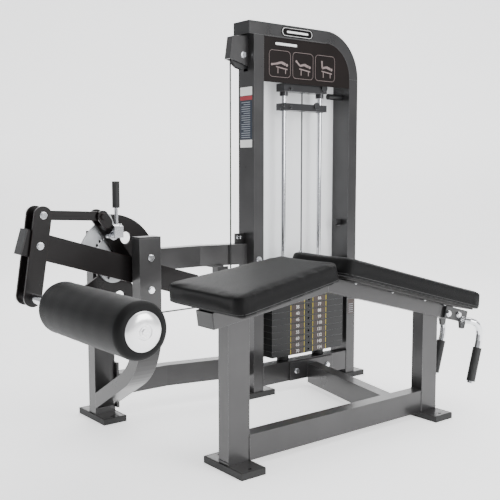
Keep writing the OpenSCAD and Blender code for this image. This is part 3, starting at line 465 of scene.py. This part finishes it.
MARK_YELLOW = printed("mark_yellow", (0.75, 0.6, 0.02))
MARK_NAVY = printed("mark_navy", (0.010, 0.018, 0.034), 0.5)
MARK_RED = printed("mark_red", (0.3, 0.02, 0.03))
MARK_BROWN = printed("mark_brown", (0.035, 0.02, 0.016), 0.4)
LABEL_GREY = printed("label_grey", (0.25, 0.27, 0.3), 0.5)
THREAD = printed("seam_thread", (0.03, 0.03, 0.03), 0.6)
FLOOR = printed("floor", (1.0, 1.0, 1.0), 0.9, change=0.0, glow=0.95)

NODE_FINISH: Dict[str, Finish] = {
    name: finish
    for names, finish in (
        ("bench_legs thigh_beam chest_beam front_rail cross_rail upper_rail lower_rail", FRAME_PAINT),
        ("upright_left upright_right top_beam base_beam front_post rear_post foot_plates", FRAME_PAINT),
        ("pulley_cover pulley_brackets", FRAME_PAINT),
        ("arm_tube selector_crank link_bar holder_plates cam_plate", ARM_PAINT),
        ("handle_bracket", BRACKET_PAINT),
        ("handle_tubes guide_rods pulley_axles frame_bolts pivot_shaft pin_housing release_lever", CHROME),
        ("index_pin holder_bolts roller_axle roller_caps selector_rod weight_pin", CHROME),
        ("pivot_bearings index_disc cam_hub", ZINC),
        ("addon_weights", ADDON_STEEL),
        ("lower_plates upper_plates head_plate", STACK_IRON),
        ("tube_caps arm_caps storage_pegs roller_core low_pulley cover_pulley centre_pulley", PLASTIC),
        ("rubber_feet rod_bumpers", RUBBER),
        ("handle_grips lever_grip", GRIP),
        ("thigh_pad chest_pad", LEATHER),
        ("roller_foam", FOAM),
        ("pad_boards", PLY),
        ("placard", ENAMEL),
        ("rear_shroud", SHEET),
        ("lift_cable", CABLE),
    )
    for name in names.split()
}


# ---- mesh helpers ----
def at(x: float, y: float, z: float) -> Vector:
    """A point in metres from millimetres measured from the left leg's front left corner."""
    return Vector((x, y, z)) * MM - ORIGIN


def mesh_object(
    name: str, bm: Mesh, material: bpy.types.Material, smooth: bool = True
) -> bpy.types.Object:
    """Turns a bmesh into an object with one material.

    Args:
        name: The object's name.
        bm: The mesh, which is freed.
        material: Its material.
        smooth: Whether its faces are shaded smoothly.

    Returns:
        The object, linked to the scene.
    """
    mesh = bpy.data.meshes.new(name)
    bmesh.ops.recalc_face_normals(bm, faces=bm.faces)
    bm.to_mesh(mesh)
    bm.free()
    mesh.materials.append(material)
    if smooth:
        mesh.polygons.foreach_set("use_smooth", [True] * len(mesh.polygons))
        mesh.update()
    made = bpy.data.objects.new(name, mesh)
    bpy.context.scene.collection.objects.link(made)
    return made


def spoke(side: Vector, other: Vector, k: int, steps: int) -> Vector:
    """One of the even spokes of a wheel.

    Args:
        side: Direction of the first spoke.
        other: Direction of the spoke a quarter turn on.
        k: The spoke's number.
        steps: How many there are.

    Returns:
        Its direction.
    """
    a = 2 * math.pi * k / steps
    return math.cos(a) * side + math.sin(a) * other


def lathe(bm: Mesh, profile: Outline, centre: Vector, axis: Vector, steps: int = 64) -> None:
    """Turns a profile into a surface.

    Args:
        bm: The mesh to add to.
        profile: Points (radius, place along the axis) in metres.
        centre: Start of the axis.
        axis: Its direction.
        steps: Number of faces round it.
    """
    side = axis.orthogonal().normalized()
    other = axis.cross(side).normalized()
    rings = []
    for radius, along in profile:
        if radius < 1e-6:
            rings.append([bm.verts.new(centre + axis * along)])
            continue
        middle = centre + axis * along
        rings.append([bm.verts.new(middle + radius * spoke(side, other, k, steps)) for k in range(steps)])
    for low, high in zip(rings, rings[1:]):
        for k in range(steps):
            after = k + 1
            corners = [low[k % len(low)], low[after % len(low)], high[after % len(high)], high[k % len(high)]]
            unique = list(dict.fromkeys(corners))
            if len(unique) > 2:
                bm.faces.new(unique)


def tube_along(
    bm: Mesh, points: Sequence[Vector], radius: float, closed: bool = False, sides: int = 8
) -> None:
    """Sweeps a round wire through points.

    Args:
        bm: The mesh to add to.
        points: The wire's route in metres.
        radius: Its radius.
        closed: Whether its end joins its start.
        sides: Number of faces round it.
    """
    count = len(points)
    rings = []
    for i, point in enumerate(points):
        before = points[i - 1] if (i or closed) else point
        after = points[(i + 1) % count] if (i < count - 1 or closed) else point
        way = (after - before).normalized()
        side = way.cross(Vector((0.1, 0.2, 1.0))).normalized()
        lift = way.cross(side)
        rings.append([bm.verts.new(point + radius * spoke(side, lift, k, sides)) for k in range(sides)])
    pairs = list(zip(rings, rings[1:])) + ([(rings[-1], rings[0])] if closed else [])
    for low, high in pairs:
        for k in range(sides):
            bm.faces.new((low[k], low[(k + 1) % sides], high[(k + 1) % sides], high[k]))
    if not closed:
        bm.faces.new(rings[0])
        bm.faces.new(rings[-1])


@dataclass(frozen=True)
class Face:
    """A flat face that takes printed pieces."""

    origin: Vector
    right: Vector
    out: Vector

    def point(self, across: float, up: float, height: float) -> Vector:
        """A point over the face, in metres."""
        return self.origin + self.right * across + Z * up + self.out * height


def plaque(bm: Mesh, outline: Outline, face: Face, thick: float) -> None:
    """Adds a thin plate with a bevelled front edge on a face.

    Args:
        bm: The mesh to add to.
        outline: Points (across, up) in metres.
        face: The face that it lies on.
        thick: Thickness in metres.
    """
    count = len(outline)
    middle = sum(p[0] for p in outline) / count
    level = sum(p[1] for p in outline) / count
    layers = []
    for share, height in ((1.0, 0.0), (1.0, 0.6 * thick), (0.985, thick)):
        shrunk = [(middle + (p[0] - middle) * share, level + (p[1] - level) * share) for p in outline]
        layers.append([bm.verts.new(face.point(*p, height)) for p in shrunk])
    for low, high in zip(layers, layers[1:]):
        for k in range(count):
            bm.faces.new((low[k], low[(k + 1) % count], high[(k + 1) % count], high[k]))
    bm.faces.new(layers[-1])
    bm.faces.new(list(reversed(layers[0])))


def round_box(x0: float, x1: float, z0: float, z1: float, r: float, steps: int = 5) -> Outline:
    """Outline of a rectangle with round corners.

    Args:
        x0: Left side in metres.
        x1: Right side.
        z0: Underside.
        z1: Top.
        r: Radius of the corners.
        steps: Number of edges in a corner.

    Returns:
        The outline, from the right side anticlockwise.
    """
    points = []
    left, right, low, high = x0 + r, x1 - r, z0 + r, z1 - r
    for cx, cz, start in ((right, high, 0), (left, high, 90), (left, low, 180), (right, low, 270)):
        for k in range(steps + 1):
            a = math.radians(start + 90 * k / steps)
            points.append((cx + r * math.cos(a), cz + r * math.sin(a)))
    return points


def box_mm(x0: float, x1: float, z0: float, z1: float, r: float) -> Outline:
    """Outline of a rectangle whose sides are in millimetres, and its radius in metres."""
    return round_box(x0 * MM, x1 * MM, z0 * MM, z1 * MM, r)


# ---- cushions ----
@dataclass
class Cushion:
    """One upholstered pad, filled by a short pressure simulation."""

    name: str
    node: str
    slope: float
    pivot: Vector
    base: float
    thick: float
    effects: Effects
    swell: float = 0.004
    shrink: float = 0.004
    voxel: float = 0.007
    steps: int = 16

    @property
    def lift(self) -> Vector:
        """The direction square to the pad."""
        a = math.radians(self.slope)
        return Vector((math.sin(a), 0.0, math.cos(a)))

    def height(self, point: Vector) -> float:
        """Height of a point above the bench beam's underside line."""
        return (point - self.pivot).dot(self.lift)

    def build(self) -> bpy.types.Object:
        """Builds the filled cushion."""
        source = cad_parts[self.node]
        pad = bpy.data.objects.new(self.name, source.data.copy())
        bpy.context.scene.collection.objects.link(pad)
        bm = bmesh.new()
        bm.from_mesh(pad.data)
        bmesh.ops.remove_doubles(bm, verts=bm.verts, dist=1e-5)
        bm.to_mesh(pad.data)
        bm.free()
        self._remesh(pad)
        self._soften(pad)
        self._fill(pad)
        self._crown(pad)
        smooth = pad.modifiers.new("finer", "SUBSURF")
        smooth.levels = smooth.render_levels = 1
        pad.data.materials.clear()
        pad.data.materials.append(LEATHER.material(self.effects))
        pad.data.polygons.foreach_set("use_smooth", [True] * len(pad.data.polygons))
        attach(pad, "root")
        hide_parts(self.node)
        LOG.info("cushion %s: %d points", self.name, len(pad.data.vertices))
        return pad

    def _apply(self, pad: bpy.types.Object) -> None:
        """Bakes the object's modifiers into its mesh."""
        graph = bpy.context.evaluated_depsgraph_get()
        baked = bpy.data.meshes.new_from_object(pad.evaluated_get(graph))
        pad.modifiers.clear()
        pad.data = baked

    def _remesh(self, pad: bpy.types.Object) -> None:
        """Covers the pad with even faces and rounds its edges."""
        remesh = pad.modifiers.new("even", "REMESH")
        remesh.mode = "VOXEL"
        remesh.voxel_size = self.voxel
        rounder = pad.modifiers.new("round", "SMOOTH")
        rounder.factor = 0.6
        rounder.iterations = 12
        self._apply(pad)

    def _soften(self, pad: bpy.types.Object) -> None:
        """Shrinks the pad a little and keeps its underside flat."""
        bm = bmesh.new()
        bm.from_mesh(pad.data)
        bm.normal_update()
        for vert in bm.verts:
            height = self.height(vert.co)
            if height > self.base + 0.006:
                vert.co -= vert.normal * self.shrink
        bm.to_mesh(pad.data)
        bm.free()

    def _fill(self, pad: bpy.types.Object) -> None:
        """Blows the cushion up with the underside held, and caps how far it moves."""
        held = pad.vertex_groups.new(name="held")
        start = [v.co.copy() for v in pad.data.vertices]
        for index, place in enumerate(start):
            if self.height(place) < self.base + 0.010:
                held.add([index], 1.0, "REPLACE")
        cloth = pad.modifiers.new("fill", "CLOTH")
        settings = cloth.settings
        settings.vertex_group_mass = "held"
        settings.use_pressure = True
        settings.uniform_pressure_force = 4.0
        settings.tension_stiffness = 40.0
        settings.compression_stiffness = 30.0
        settings.bending_stiffness = 6.0
        settings.effector_weights.gravity = 0.0
        settings.quality = 5
        scene = bpy.context.scene
        for step in range(1, self.steps + 1):
            scene.frame_set(step)
        self._apply(pad)
        scene.frame_set(1)
        for vert, place in zip(pad.data.vertices, start):
            move = vert.co - place
            if move.length > self.swell:
                vert.co = place + move.normalized() * self.swell
        calm = pad.modifiers.new("calm", "SMOOTH")
        calm.factor = 0.5
        calm.iterations = 6
        self._apply(pad)

    def _crown(self, pad: bpy.types.Object) -> None:
        """Presses the shape back between its underside and its finished top."""
        top = self.base + self.thick
        for vert in pad.data.vertices:
            height = self.height(vert.co)
            if height > top:
                vert.co -= self.lift * (height - top) * 0.9
            if height < self.base - 0.001:
                vert.co += self.lift * (self.base - 0.001 - height) * 0.9
        pad.data.update()


@dataclass
class PadSeams:
    """Seams and stitches round a cushion, laid on its surface."""

    name: str
    pad: bpy.types.Object
    cushion: Cushion
    effects: Effects
    levels: Tuple[float, ...] = (0.16,)
    radius: float = 0.0009

    def build(self) -> bpy.types.Object:
        """Lays a cord of thread at each level."""
        graph = bpy.context.evaluated_depsgraph_get()
        tree = BVHTree.FromObject(self.pad, graph)
        corners = [Vector(c) for c in self.pad.bound_box]
        centre = sum(corners, Vector()) / 8
        lift = self.cushion.lift
        along = Y.cross(lift).normalized()
        bm = bmesh.new()
        for level in self.levels:
            height = self.cushion.base + level * self.cushion.thick
            start = centre + lift * (height - self.cushion.height(centre))
            points = self._ring(tree, start, along)
            tube_along(bm, points, self.radius, closed=True, sides=6)
        seam = mesh_object(self.name, bm, THREAD.material(self.effects))
        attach(seam, "root")
        LOG.info("seams %s", self.name)
        return seam

    def _ring(self, tree: BVHTree, start: Vector, along: Vector) -> List[Vector]:
        """Points of the pad's side, seen from its middle."""
        points = []
        for k in range(200):
            a = 2 * math.pi * k / 200
            way = (math.cos(a) * along + math.sin(a) * Y).normalized()
            far = start + way * 0.7
            hit, normal, _, _ = tree.ray_cast(far, -way)
            if hit is not None:
                points.append(hit - normal * self.radius * 0.2)
        return points


@dataclass
class Roller:
    """The ankle roller's foam and its end caps."""

    effects: Effects
    centre: Vector = field(default_factory=lambda: at(-422.4, 0, 528.1))
    near: float = -0.221 - 0.307
    length: float = 0.461
    radius: float = 0.076

    def build(self) -> None:
        """Builds the foam, the domed cap and the far washer."""
        self._foam()
        self._caps()

    def _foam(self) -> None:
        """A slightly barrelled sleeve with rolled ends."""
        edge = 0.02
        profile = [(0.023, 0.003), (0.046, 0.0015), (0.052, 0.0)]
        for k in range(9):
            a = math.radians(90 * k / 8)
            profile.append((self.radius - edge + edge * math.sin(a), edge - edge * math.cos(a)))
        for k in range(1, 24):
            share = k / 24
            bulge = -0.0008 + 0.0008 * math.sin(math.pi * share) + 0.00025 * math.sin(share * 37.0)
            profile.append((self.radius + bulge, edge + (self.length - 2 * edge) * share))
        for k in range(9):
            a = math.radians(90 * k / 8)
            profile.append((self.radius - edge + edge * math.cos(a), self.length - edge + edge * math.sin(a)))
        profile += [(0.046, self.length - 0.002), (0.023, self.length - 0.004)]
        bm = bmesh.new()
        centre = Vector((self.centre.x, self.near, self.centre.z))
        lathe(bm, profile + profile[:1], centre, Y, 72)
        foam = mesh_object("roller_sleeve", bm, FOAM.material(self.effects))
        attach(foam, "roller")
        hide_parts("roller_foam")
        LOG.info("roller sleeve")

    def _caps(self) -> None:
        """A bright domed cap with a recessed ring and a hex bolt, and a far washer."""
        bm = bmesh.new()
        centre = Vector((self.centre.x, self.near, self.centre.z))
        recess = [(0.0, 0.0075), (0.013, 0.0075), (0.0145, 0.0055), (0.019, 0.0055), (0.021, 0.0082)]
        dome = [(0.030, 0.0079), (0.040, 0.0060), (0.047, 0.0035), (0.0510, 0.0005), (0.0518, -0.002)]
        back = [(0.048, -0.003), (0.0, -0.003)]
        lathe(bm, recess + dome + back, centre, -Y, 72)
        hexagon = [(0.0, 0.0112), (0.0075, 0.0112), (0.0085, 0.0102), (0.0085, 0.0070), (0.0, 0.0070)]
        lathe(bm, hexagon, centre, -Y, 6)
        bore = 0.0152
        washer = [(bore, 0.0), (0.041, 0.0), (0.041, 0.003), (0.038, 0.004), (bore, 0.004), (bore, 0.0)]
        lathe(bm, washer, centre + Y * self.length, Y, 64)
        caps = mesh_object("roller_end_caps", bm, CAP_WHITE.material(self.effects), smooth=False)
        shade_by_angle(caps)
        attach(caps, "roller")
        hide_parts("roller_caps")
        LOG.info("roller caps")


def shade_by_angle(item: bpy.types.Object, angle: float = 32.0) -> None:
    """Smooth shading that keeps sharp corners."""
    item.data.polygons.foreach_set("use_smooth", [True] * len(item.data.polygons))
    bm = bmesh.new()
    bm.from_mesh(item.data)
    for edge in bm.edges:
        if len(edge.link_faces) == 2 and edge.calc_face_angle(0.0) > math.radians(angle):
            edge.smooth = False
    bm.to_mesh(item.data)
    bm.free()


# ---- printed and fixed details ----
@dataclass
class TowerDress:
    """Placard frames, pictograms, the badge and the labels of the tower, in millimetres."""

    effects: Effects
    front: float = 588.0
    left: float = 567.5
    panels: Outline = ((644, 755), (768, 879), (892, 1003))
    low: float = 1293.0
    high: float = 1397.0
    badge_x: float = 792.0
    badge_z: float = 1474.0

    def build(self) -> None:
        """Builds every printed piece."""
        self._frames()
        self._figures()
        self._badge()
        self._side_label()
        self._front_label()

    def _face(self, x: float = 0.0, z: float = 0.0, ahead: float = 0.0) -> Face:
        """The tower's front face, with its origin at a place on it."""
        return Face(at(x, self.front - ahead, z), X, -Y)

    def _piece(self, name: str, bm: Mesh, finish: Finish) -> None:
        """Finishes one printed piece on the tower."""
        made = mesh_object(name, bm, finish.material(self.effects), smooth=False)
        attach(made, "root")
        LOG.info("tower piece %s", name)

    def _frames(self) -> None:
        """Thin round-cornered frames of the three panels, and the bar over them."""
        bm = bmesh.new()
        corner, sunk, wire = 0.016, 0.0004, 0.0008
        for x0, x1 in self.panels:
            outline = box_mm(x0, x1, self.low, self.high, corner)
            points = [self._face().point(*p, sunk) for p in outline]
            tube_along(bm, points, wire, closed=True, sides=6)
        self._piece("panel_frames", bm, LINE_PINK)
        bm = bmesh.new()
        plaque(bm, box_mm(676, 790, 1418, 1428, 0.004), self._face(), 0.0006)
        self._piece("panel_heading", bm, MARK_WHITE)

    def _figures(self) -> None:
        """Plain pictograms of a lying figure in three positions, built of bars and discs."""
        bm = bmesh.new()
        for (x0, x1), shin_turn in zip(self.panels, (190, 140, 95)):
            middle, level = (x0 + x1) / 2 * MM, (self.low + self.high) / 2 * MM
            turn = math.radians(shin_turn)
            knee = (middle - 0.016, level + 0.000)
            foot = (knee[0] + 0.026 * math.cos(turn), knee[1] + 0.026 * math.sin(turn))
            hip, head = (middle + 0.008, level + 0.006), (middle + 0.037, level - 0.003)
            shoulder = (middle + 0.030, level - 0.001)
            for start, end, half in ((hip, knee, 0.0042), (knee, foot, 0.0035), (hip, shoulder, 0.0052)):
                self._bar(bm, start, end, half)
            self._disc(bm, head, 0.0058)
            self._disc(bm, foot, 0.0048)
            self._bar(bm, (middle - 0.02, level - 0.012), (middle + 0.04, level - 0.020), 0.0022)
            for leg, top in ((0.030, 0.020), (-0.010, 0.014)):
                self._bar(bm, (middle + leg, level - top), (middle + leg, level - 0.038), 0.0018)
        self._piece("panel_figures", bm, LINE_PINK)

    def _bar(self, bm: Mesh, a: Tuple[float, float], b: Tuple[float, float], half: float) -> None:
        """A flat bar between two points of the placard, of the given half width."""
        start, end = Vector(a), Vector(b)
        way = (end - start).normalized()
        side = Vector((-way.y, way.x)) * half
        corners = (start + side, start - side, end - side, end + side)
        plaque(bm, [(c.x, c.y) for c in corners], self._face(), 0.0006)

    def _disc(self, bm: Mesh, centre: Tuple[float, float], radius: float) -> None:
        """A flat disc on the placard."""
        middle, steps = Vector(centre), 20
        right, up = Vector((1, 0)), Vector((0, 1))
        ring = [middle + radius * spoke(right, up, k, steps) for k in range(steps)]
        plaque(bm, [(p.x, p.y) for p in ring], self._face(), 0.0007)

    def _badge(self) -> None:
        """A plain oval badge with a bright rim on the top beam."""
        for name, wide, tall, thick, finish, slot in (
            ("badge_rim", 0.086, 0.0195, 0.0012, BADGE_DARK, "placard"),
            ("badge_line", 0.081, 0.0160, 0.0016, MARK_WHITE, "chrome"),
            ("badge_face", 0.079, 0.0145, 0.0020, BADGE_DARK, "placard"),
            ("badge_stripe", 0.058, 0.0042, 0.0024, MARK_WHITE, "placard"),
        ):
            bm = bmesh.new()
            outline = round_box(-wide, wide, -tall, tall, tall * 0.98, 12)
            plaque(bm, outline, self._face(self.badge_x, self.badge_z), thick)
            self._piece(name, bm, finish)

    def _side_label(self) -> None:
        """A wordless sticker in four bands on the left upright, with lines on its long band."""
        start, end, line_from = 600, 676, 612
        side = Face(at(self.left, 0, 0), Y, -X)
        bands = (
            (1012, 1042, MARK_WHITE),
            (1044, 1196, MARK_NAVY),
            (1198, 1214, MARK_RED),
            (1216, 1249, MARK_WHITE),
        )
        for k, (z0, z1, finish) in enumerate(bands):
            bm = bmesh.new()
            plaque(bm, box_mm(start, end, z0, z1, 0.002), side, 0.0005)
            self._piece(f"side_label_{k}", bm, finish)
        bm = bmesh.new()
        over = Face(at(self.left - 0.4, 0, 0), Y, -X)
        for k in range(17):
            z = 1050 + 8.6 * k
            line_to = 668 - 14 * (k % 4 == 3)
            plaque(bm, box_mm(line_from, line_to, z, z + 3, 0.0012), over, 0.0003)
        self._piece("side_label_lines", bm, LABEL_GREY)

    def _front_label(self) -> None:
        """A small wordless sticker on the right upright."""
        bm = bmesh.new()
        plaque(bm, box_mm(1100, 1135, 287, 352, 0.003), self._face(), 0.0005)
        self._piece("front_label", bm, MARK_BROWN)
        bm = bmesh.new()
        for k in range(5):
            z = 294 + 9 * k
            plaque(bm, box_mm(1104, 1131, z, z + 2.5, 0.0008), self._face(ahead=0.5), 0.0003)
        self._piece("front_label_lines", bm, LABEL_GREY)


@dataclass
class StackDress:
    """Decals and numbers of the weight stack."""

    effects: Effects
    count: int = 13
    held_from: int = 10
    low: float = 153.0
    pitch: float = 26.6
    front: float = 577.0
    centre: float = 855.0

    def build(self) -> None:
        """Builds the decals of the resting and the lifted plates."""
        for body, first, last in (("root", 0, self.held_from), ("stack", self.held_from, self.count)):
            self._strips(body, first, last)
            self._numbers(body, first, last)

    def _strips(self, body: str, first: int, last: int) -> None:
        """Dark strips beside the pin holes with yellow edges."""
        dark, bright = bmesh.new(), bmesh.new()
        face = Face(at(0, self.front, 0), X, -Y)
        for k in range(first, last):
            z0 = (self.low + k * self.pitch + 2.5) * MM
            z1 = z0 + 0.021
            for side in (-1, 1):
                x = (self.centre + side * 62) * MM
                plaque(dark, round_box(x - 0.034, x + 0.034, z0, z1, 0.002), face, 0.0004)
                for edge in (-0.039, 0.037):
                    plaque(bright, round_box(x + edge, x + edge + 0.002, z0, z1, 0.0005), face, 0.0004)
        for name, bm, finish in (("strips", dark, MARK_BROWN), ("edges", bright, MARK_YELLOW)):
            made = mesh_object(f"stack_{name}_{body}", bm, finish.material(self.effects), smooth=False)
            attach(made, body)
        LOG.info("stack strips on %s", body)

    def _numbers(self, body: str, first: int, last: int) -> None:
        """Raised weights in both columns, counted from the top plate."""
        made: List[bpy.types.Object] = []
        for k in range(first, last):
            value = 5 + 5 * (self.count - k)
            for side, label in ((-1, str(value)), (1, str(round(value * 2.2)))):
                curve = bpy.data.curves.new("figure", "FONT")
                curve.body = label
                curve.size = 0.019
                curve.extrude = 0.0002
                curve.resolution_u = 3
                curve.align_x, curve.align_y = "CENTER", "CENTER"
                item = bpy.data.objects.new("figure", curve)
                item.location = at(self.centre + side * 62, self.front - 0.6, self.low + k * self.pitch + 13)
                item.rotation_euler = (math.radians(90), 0, 0)
                bpy.context.scene.collection.objects.link(item)
                made.append(item)
        bpy.context.view_layer.update()
        graph = bpy.context.evaluated_depsgraph_get()
        bm = bmesh.new()
        for item in made:
            shape = bpy.data.meshes.new_from_object(item.evaluated_get(graph))
            shape.transform(item.matrix_world)
            bm.from_mesh(shape)
            bpy.data.meshes.remove(shape)
        for item in made:
            curve = item.data
            bpy.data.objects.remove(item)
            bpy.data.curves.remove(curve)
        numbers = mesh_object(f"stack_numbers_{body}", bm, MARK_WHITE.material(self.effects), smooth=False)
        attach(numbers, body)
        LOG.info("stack numbers on %s", body)


@dataclass
class Welds:
    """Rippled weld beads where tubes of the frame meet."""

    effects: Effects
    radius: float = 0.0028

    def build(self) -> None:
        """Lays every bead."""
        bm = bmesh.new()
        random.seed(7)
        for points in self._runs():
            self._bead(bm, points)
        beads = mesh_object("weld_beads", bm, FRAME_PAINT.material(self.effects))
        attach(beads, "root")
        LOG.info("weld beads")

    def _runs(self) -> List[List[Vector]]:
        """Corner points of the visible joints."""
        runs = []
        for x in (82, 899):
            runs.append([at(x, 0, 22), at(x, 0, 104), at(x, 50, 104)])
        for x in (617.5, 1092.5):
            runs.append([at(x, 588, 42), at(x, 588, 124)])
        runs.append([at(617.5, 588, 1450), at(952, 588, 1450)])
        for x in (0, 82, 899, 981):
            runs.append([at(x, 0, 31), at(x, 50, 31)])
        return runs

    def _bead(self, bm: Mesh, corners: List[Vector]) -> None:
        """One bead with small ripples."""
        points: List[Vector] = []
        for a, b in zip(corners, corners[1:]):
            steps = max(4, int((b - a).length / 0.004))
            points += [a.lerp(b, k / steps) for k in range(steps)]
        points.append(corners[-1])
        wavy = [p + Vector([random.uniform(-0.0003, 0.0003) for _ in range(3)]) for p in points]
        tube_along(bm, wavy, self.radius, sides=8)


@dataclass
class Screws:
    """Small bright screws under the cushions."""

    effects: Effects
    slope: float = 14.5

    def build(self) -> None:
        """Places the screws along the chest beam's near side."""
        a = math.radians(self.slope)
        along = Vector((math.cos(a), 0, -math.sin(a)))
        lift = Vector((math.sin(a), 0, math.cos(a)))
        bm = bmesh.new()
        head = [(0.0, 0.0), (0.006, 0.0), (0.006, -0.0035), (0.0035, -0.0055), (0.0, -0.0055)]
        for place in (110, 300, 480, 600):
            base = at(398, -24, 524) + along * place * MM + lift * 0.0505
            lathe(bm, head, base, lift, 16)
        made = mesh_object("pad_screws", bm, CHROME.material(self.effects), smooth=False)
        shade_by_angle(made)
        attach(made, "root")
        LOG.info("pad screws")


# ---- studio ----
@dataclass
class Studio:
    """Floor, lights and camera."""

    effects: Effects
    place: Vector = field(default_factory=lambda: Vector((-1.7605, -2.2015, 0.9203)))
    heading: float = 51.74
    fall: float = 5.67
    lens: float = 57.6

    def build(self) -> None:
        """Builds the studio."""
        self._floor()
        self._lights()
        self._camera()
        LOG.info("studio")

    def _floor(self) -> None:
        """A pale floor that bends up into a backdrop."""
        bm = bmesh.new()
        near, bend_from, bend, top, half = -6.0, 3.6, 1.2, 5.0, 7.0
        profile = [(near, 0.0), (bend_from, 0.0)]
        for degrees in range(10, 91, 10):
            a = math.radians(degrees)
            profile.append((bend_from + bend * math.sin(a), bend - bend * math.cos(a)))
        profile.append((bend_from + bend, top))
        turn = Matrix.Rotation(math.radians(self.heading - 90), 3, "Z")
        rows = []
        for forward, up in profile:
            rows.append([bm.verts.new(turn @ Vector((side, forward, up))) for side in (-half, half)])
        for low, high in zip(rows, rows[1:]):
            bm.faces.new((low[0], low[1], high[1], high[0]))
        floor = mesh_object("floor", bm, FLOOR.material(self.effects))

    def _lights(self) -> None:
        """Soft boxes over, beside and behind the machine."""
        scene = bpy.context.scene
        world = bpy.data.worlds.new("studio")
        world.use_nodes = True
        back = world.node_tree.nodes["Background"]
        back.inputs["Color"].default_value = (0.96, 0.97, 1.0, 1.0)
        back.inputs["Strength"].default_value = 0.6
        scene.world = world
        for name, place, size, power in (
            ("over", (0.4, -0.9, 3.8), 3.4, 120.0),
            ("left", (-3.6, 0.4, 1.8), 1.6, 4.0),
            ("front", (1.2, -3.8, 1.9), 2.2, 115.0),
            ("back", (1.8, 2.6, 2.8), 2.4, 45.0),
        ):
            light = bpy.data.lights.new(name, "AREA")
            light.size = size
            light.energy = power
            lamp = bpy.data.objects.new(name, light)
            lamp.location = place
            lamp.rotation_mode = "QUATERNION"
            lamp.rotation_quaternion = (Vector((0, 0, 0.6)) - Vector(place)).to_track_quat("-Z", "Y")
            scene.collection.objects.link(lamp)

    def _camera(self) -> None:
        """The camera at the asked angle."""
        scene = bpy.context.scene
        camera = bpy.data.cameras.new("main")
        camera.lens = self.lens
        camera.sensor_width = 36.0
        holder = bpy.data.objects.new("main", camera)
        h, f = math.radians(self.heading), math.radians(self.fall)
        way = Vector((math.cos(h) * math.cos(f), math.sin(h) * math.cos(f), -math.sin(f)))
        holder.location = self.place
        holder.rotation_mode = "QUATERNION"
        holder.rotation_quaternion = way.to_track_quat("-Z", "Y")
        scene.collection.objects.link(holder)
        scene.camera = holder


def paint_nodes(effects: Effects) -> None:
    """Gives every carried-over node its finish."""
    for name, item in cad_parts.items():
        item.data.materials.clear()
        item.data.materials.append(NODE_FINISH[name].material(effects))
    LOG.info("painted %d nodes", len(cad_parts))


def main() -> None:
    """Builds the sub-assemblies in order."""
    logging.basicConfig(level=logging.INFO, format="%(name)s: %(message)s")
    effects = Effects()
    paint_nodes(effects)
    ridge, base, thick = at(398, 0, 524), 0.055, 0.065
    for name, node, slope in (("thigh_cushion", "thigh_pad", -8.5), ("chest_cushion", "chest_pad", 14.5)):
        cushion = Cushion(name, node, slope, ridge, base, thick, effects)
        pad = cushion.build()
        PadSeams(f"{name}_seams", pad, cushion, effects).build()
    Roller(effects).build()
    TowerDress(effects).build()
    StackDress(effects).build()
    Welds(effects).build()
    Screws(effects).build()
    Studio(effects).build()


if __name__ == "__main__":
    main()
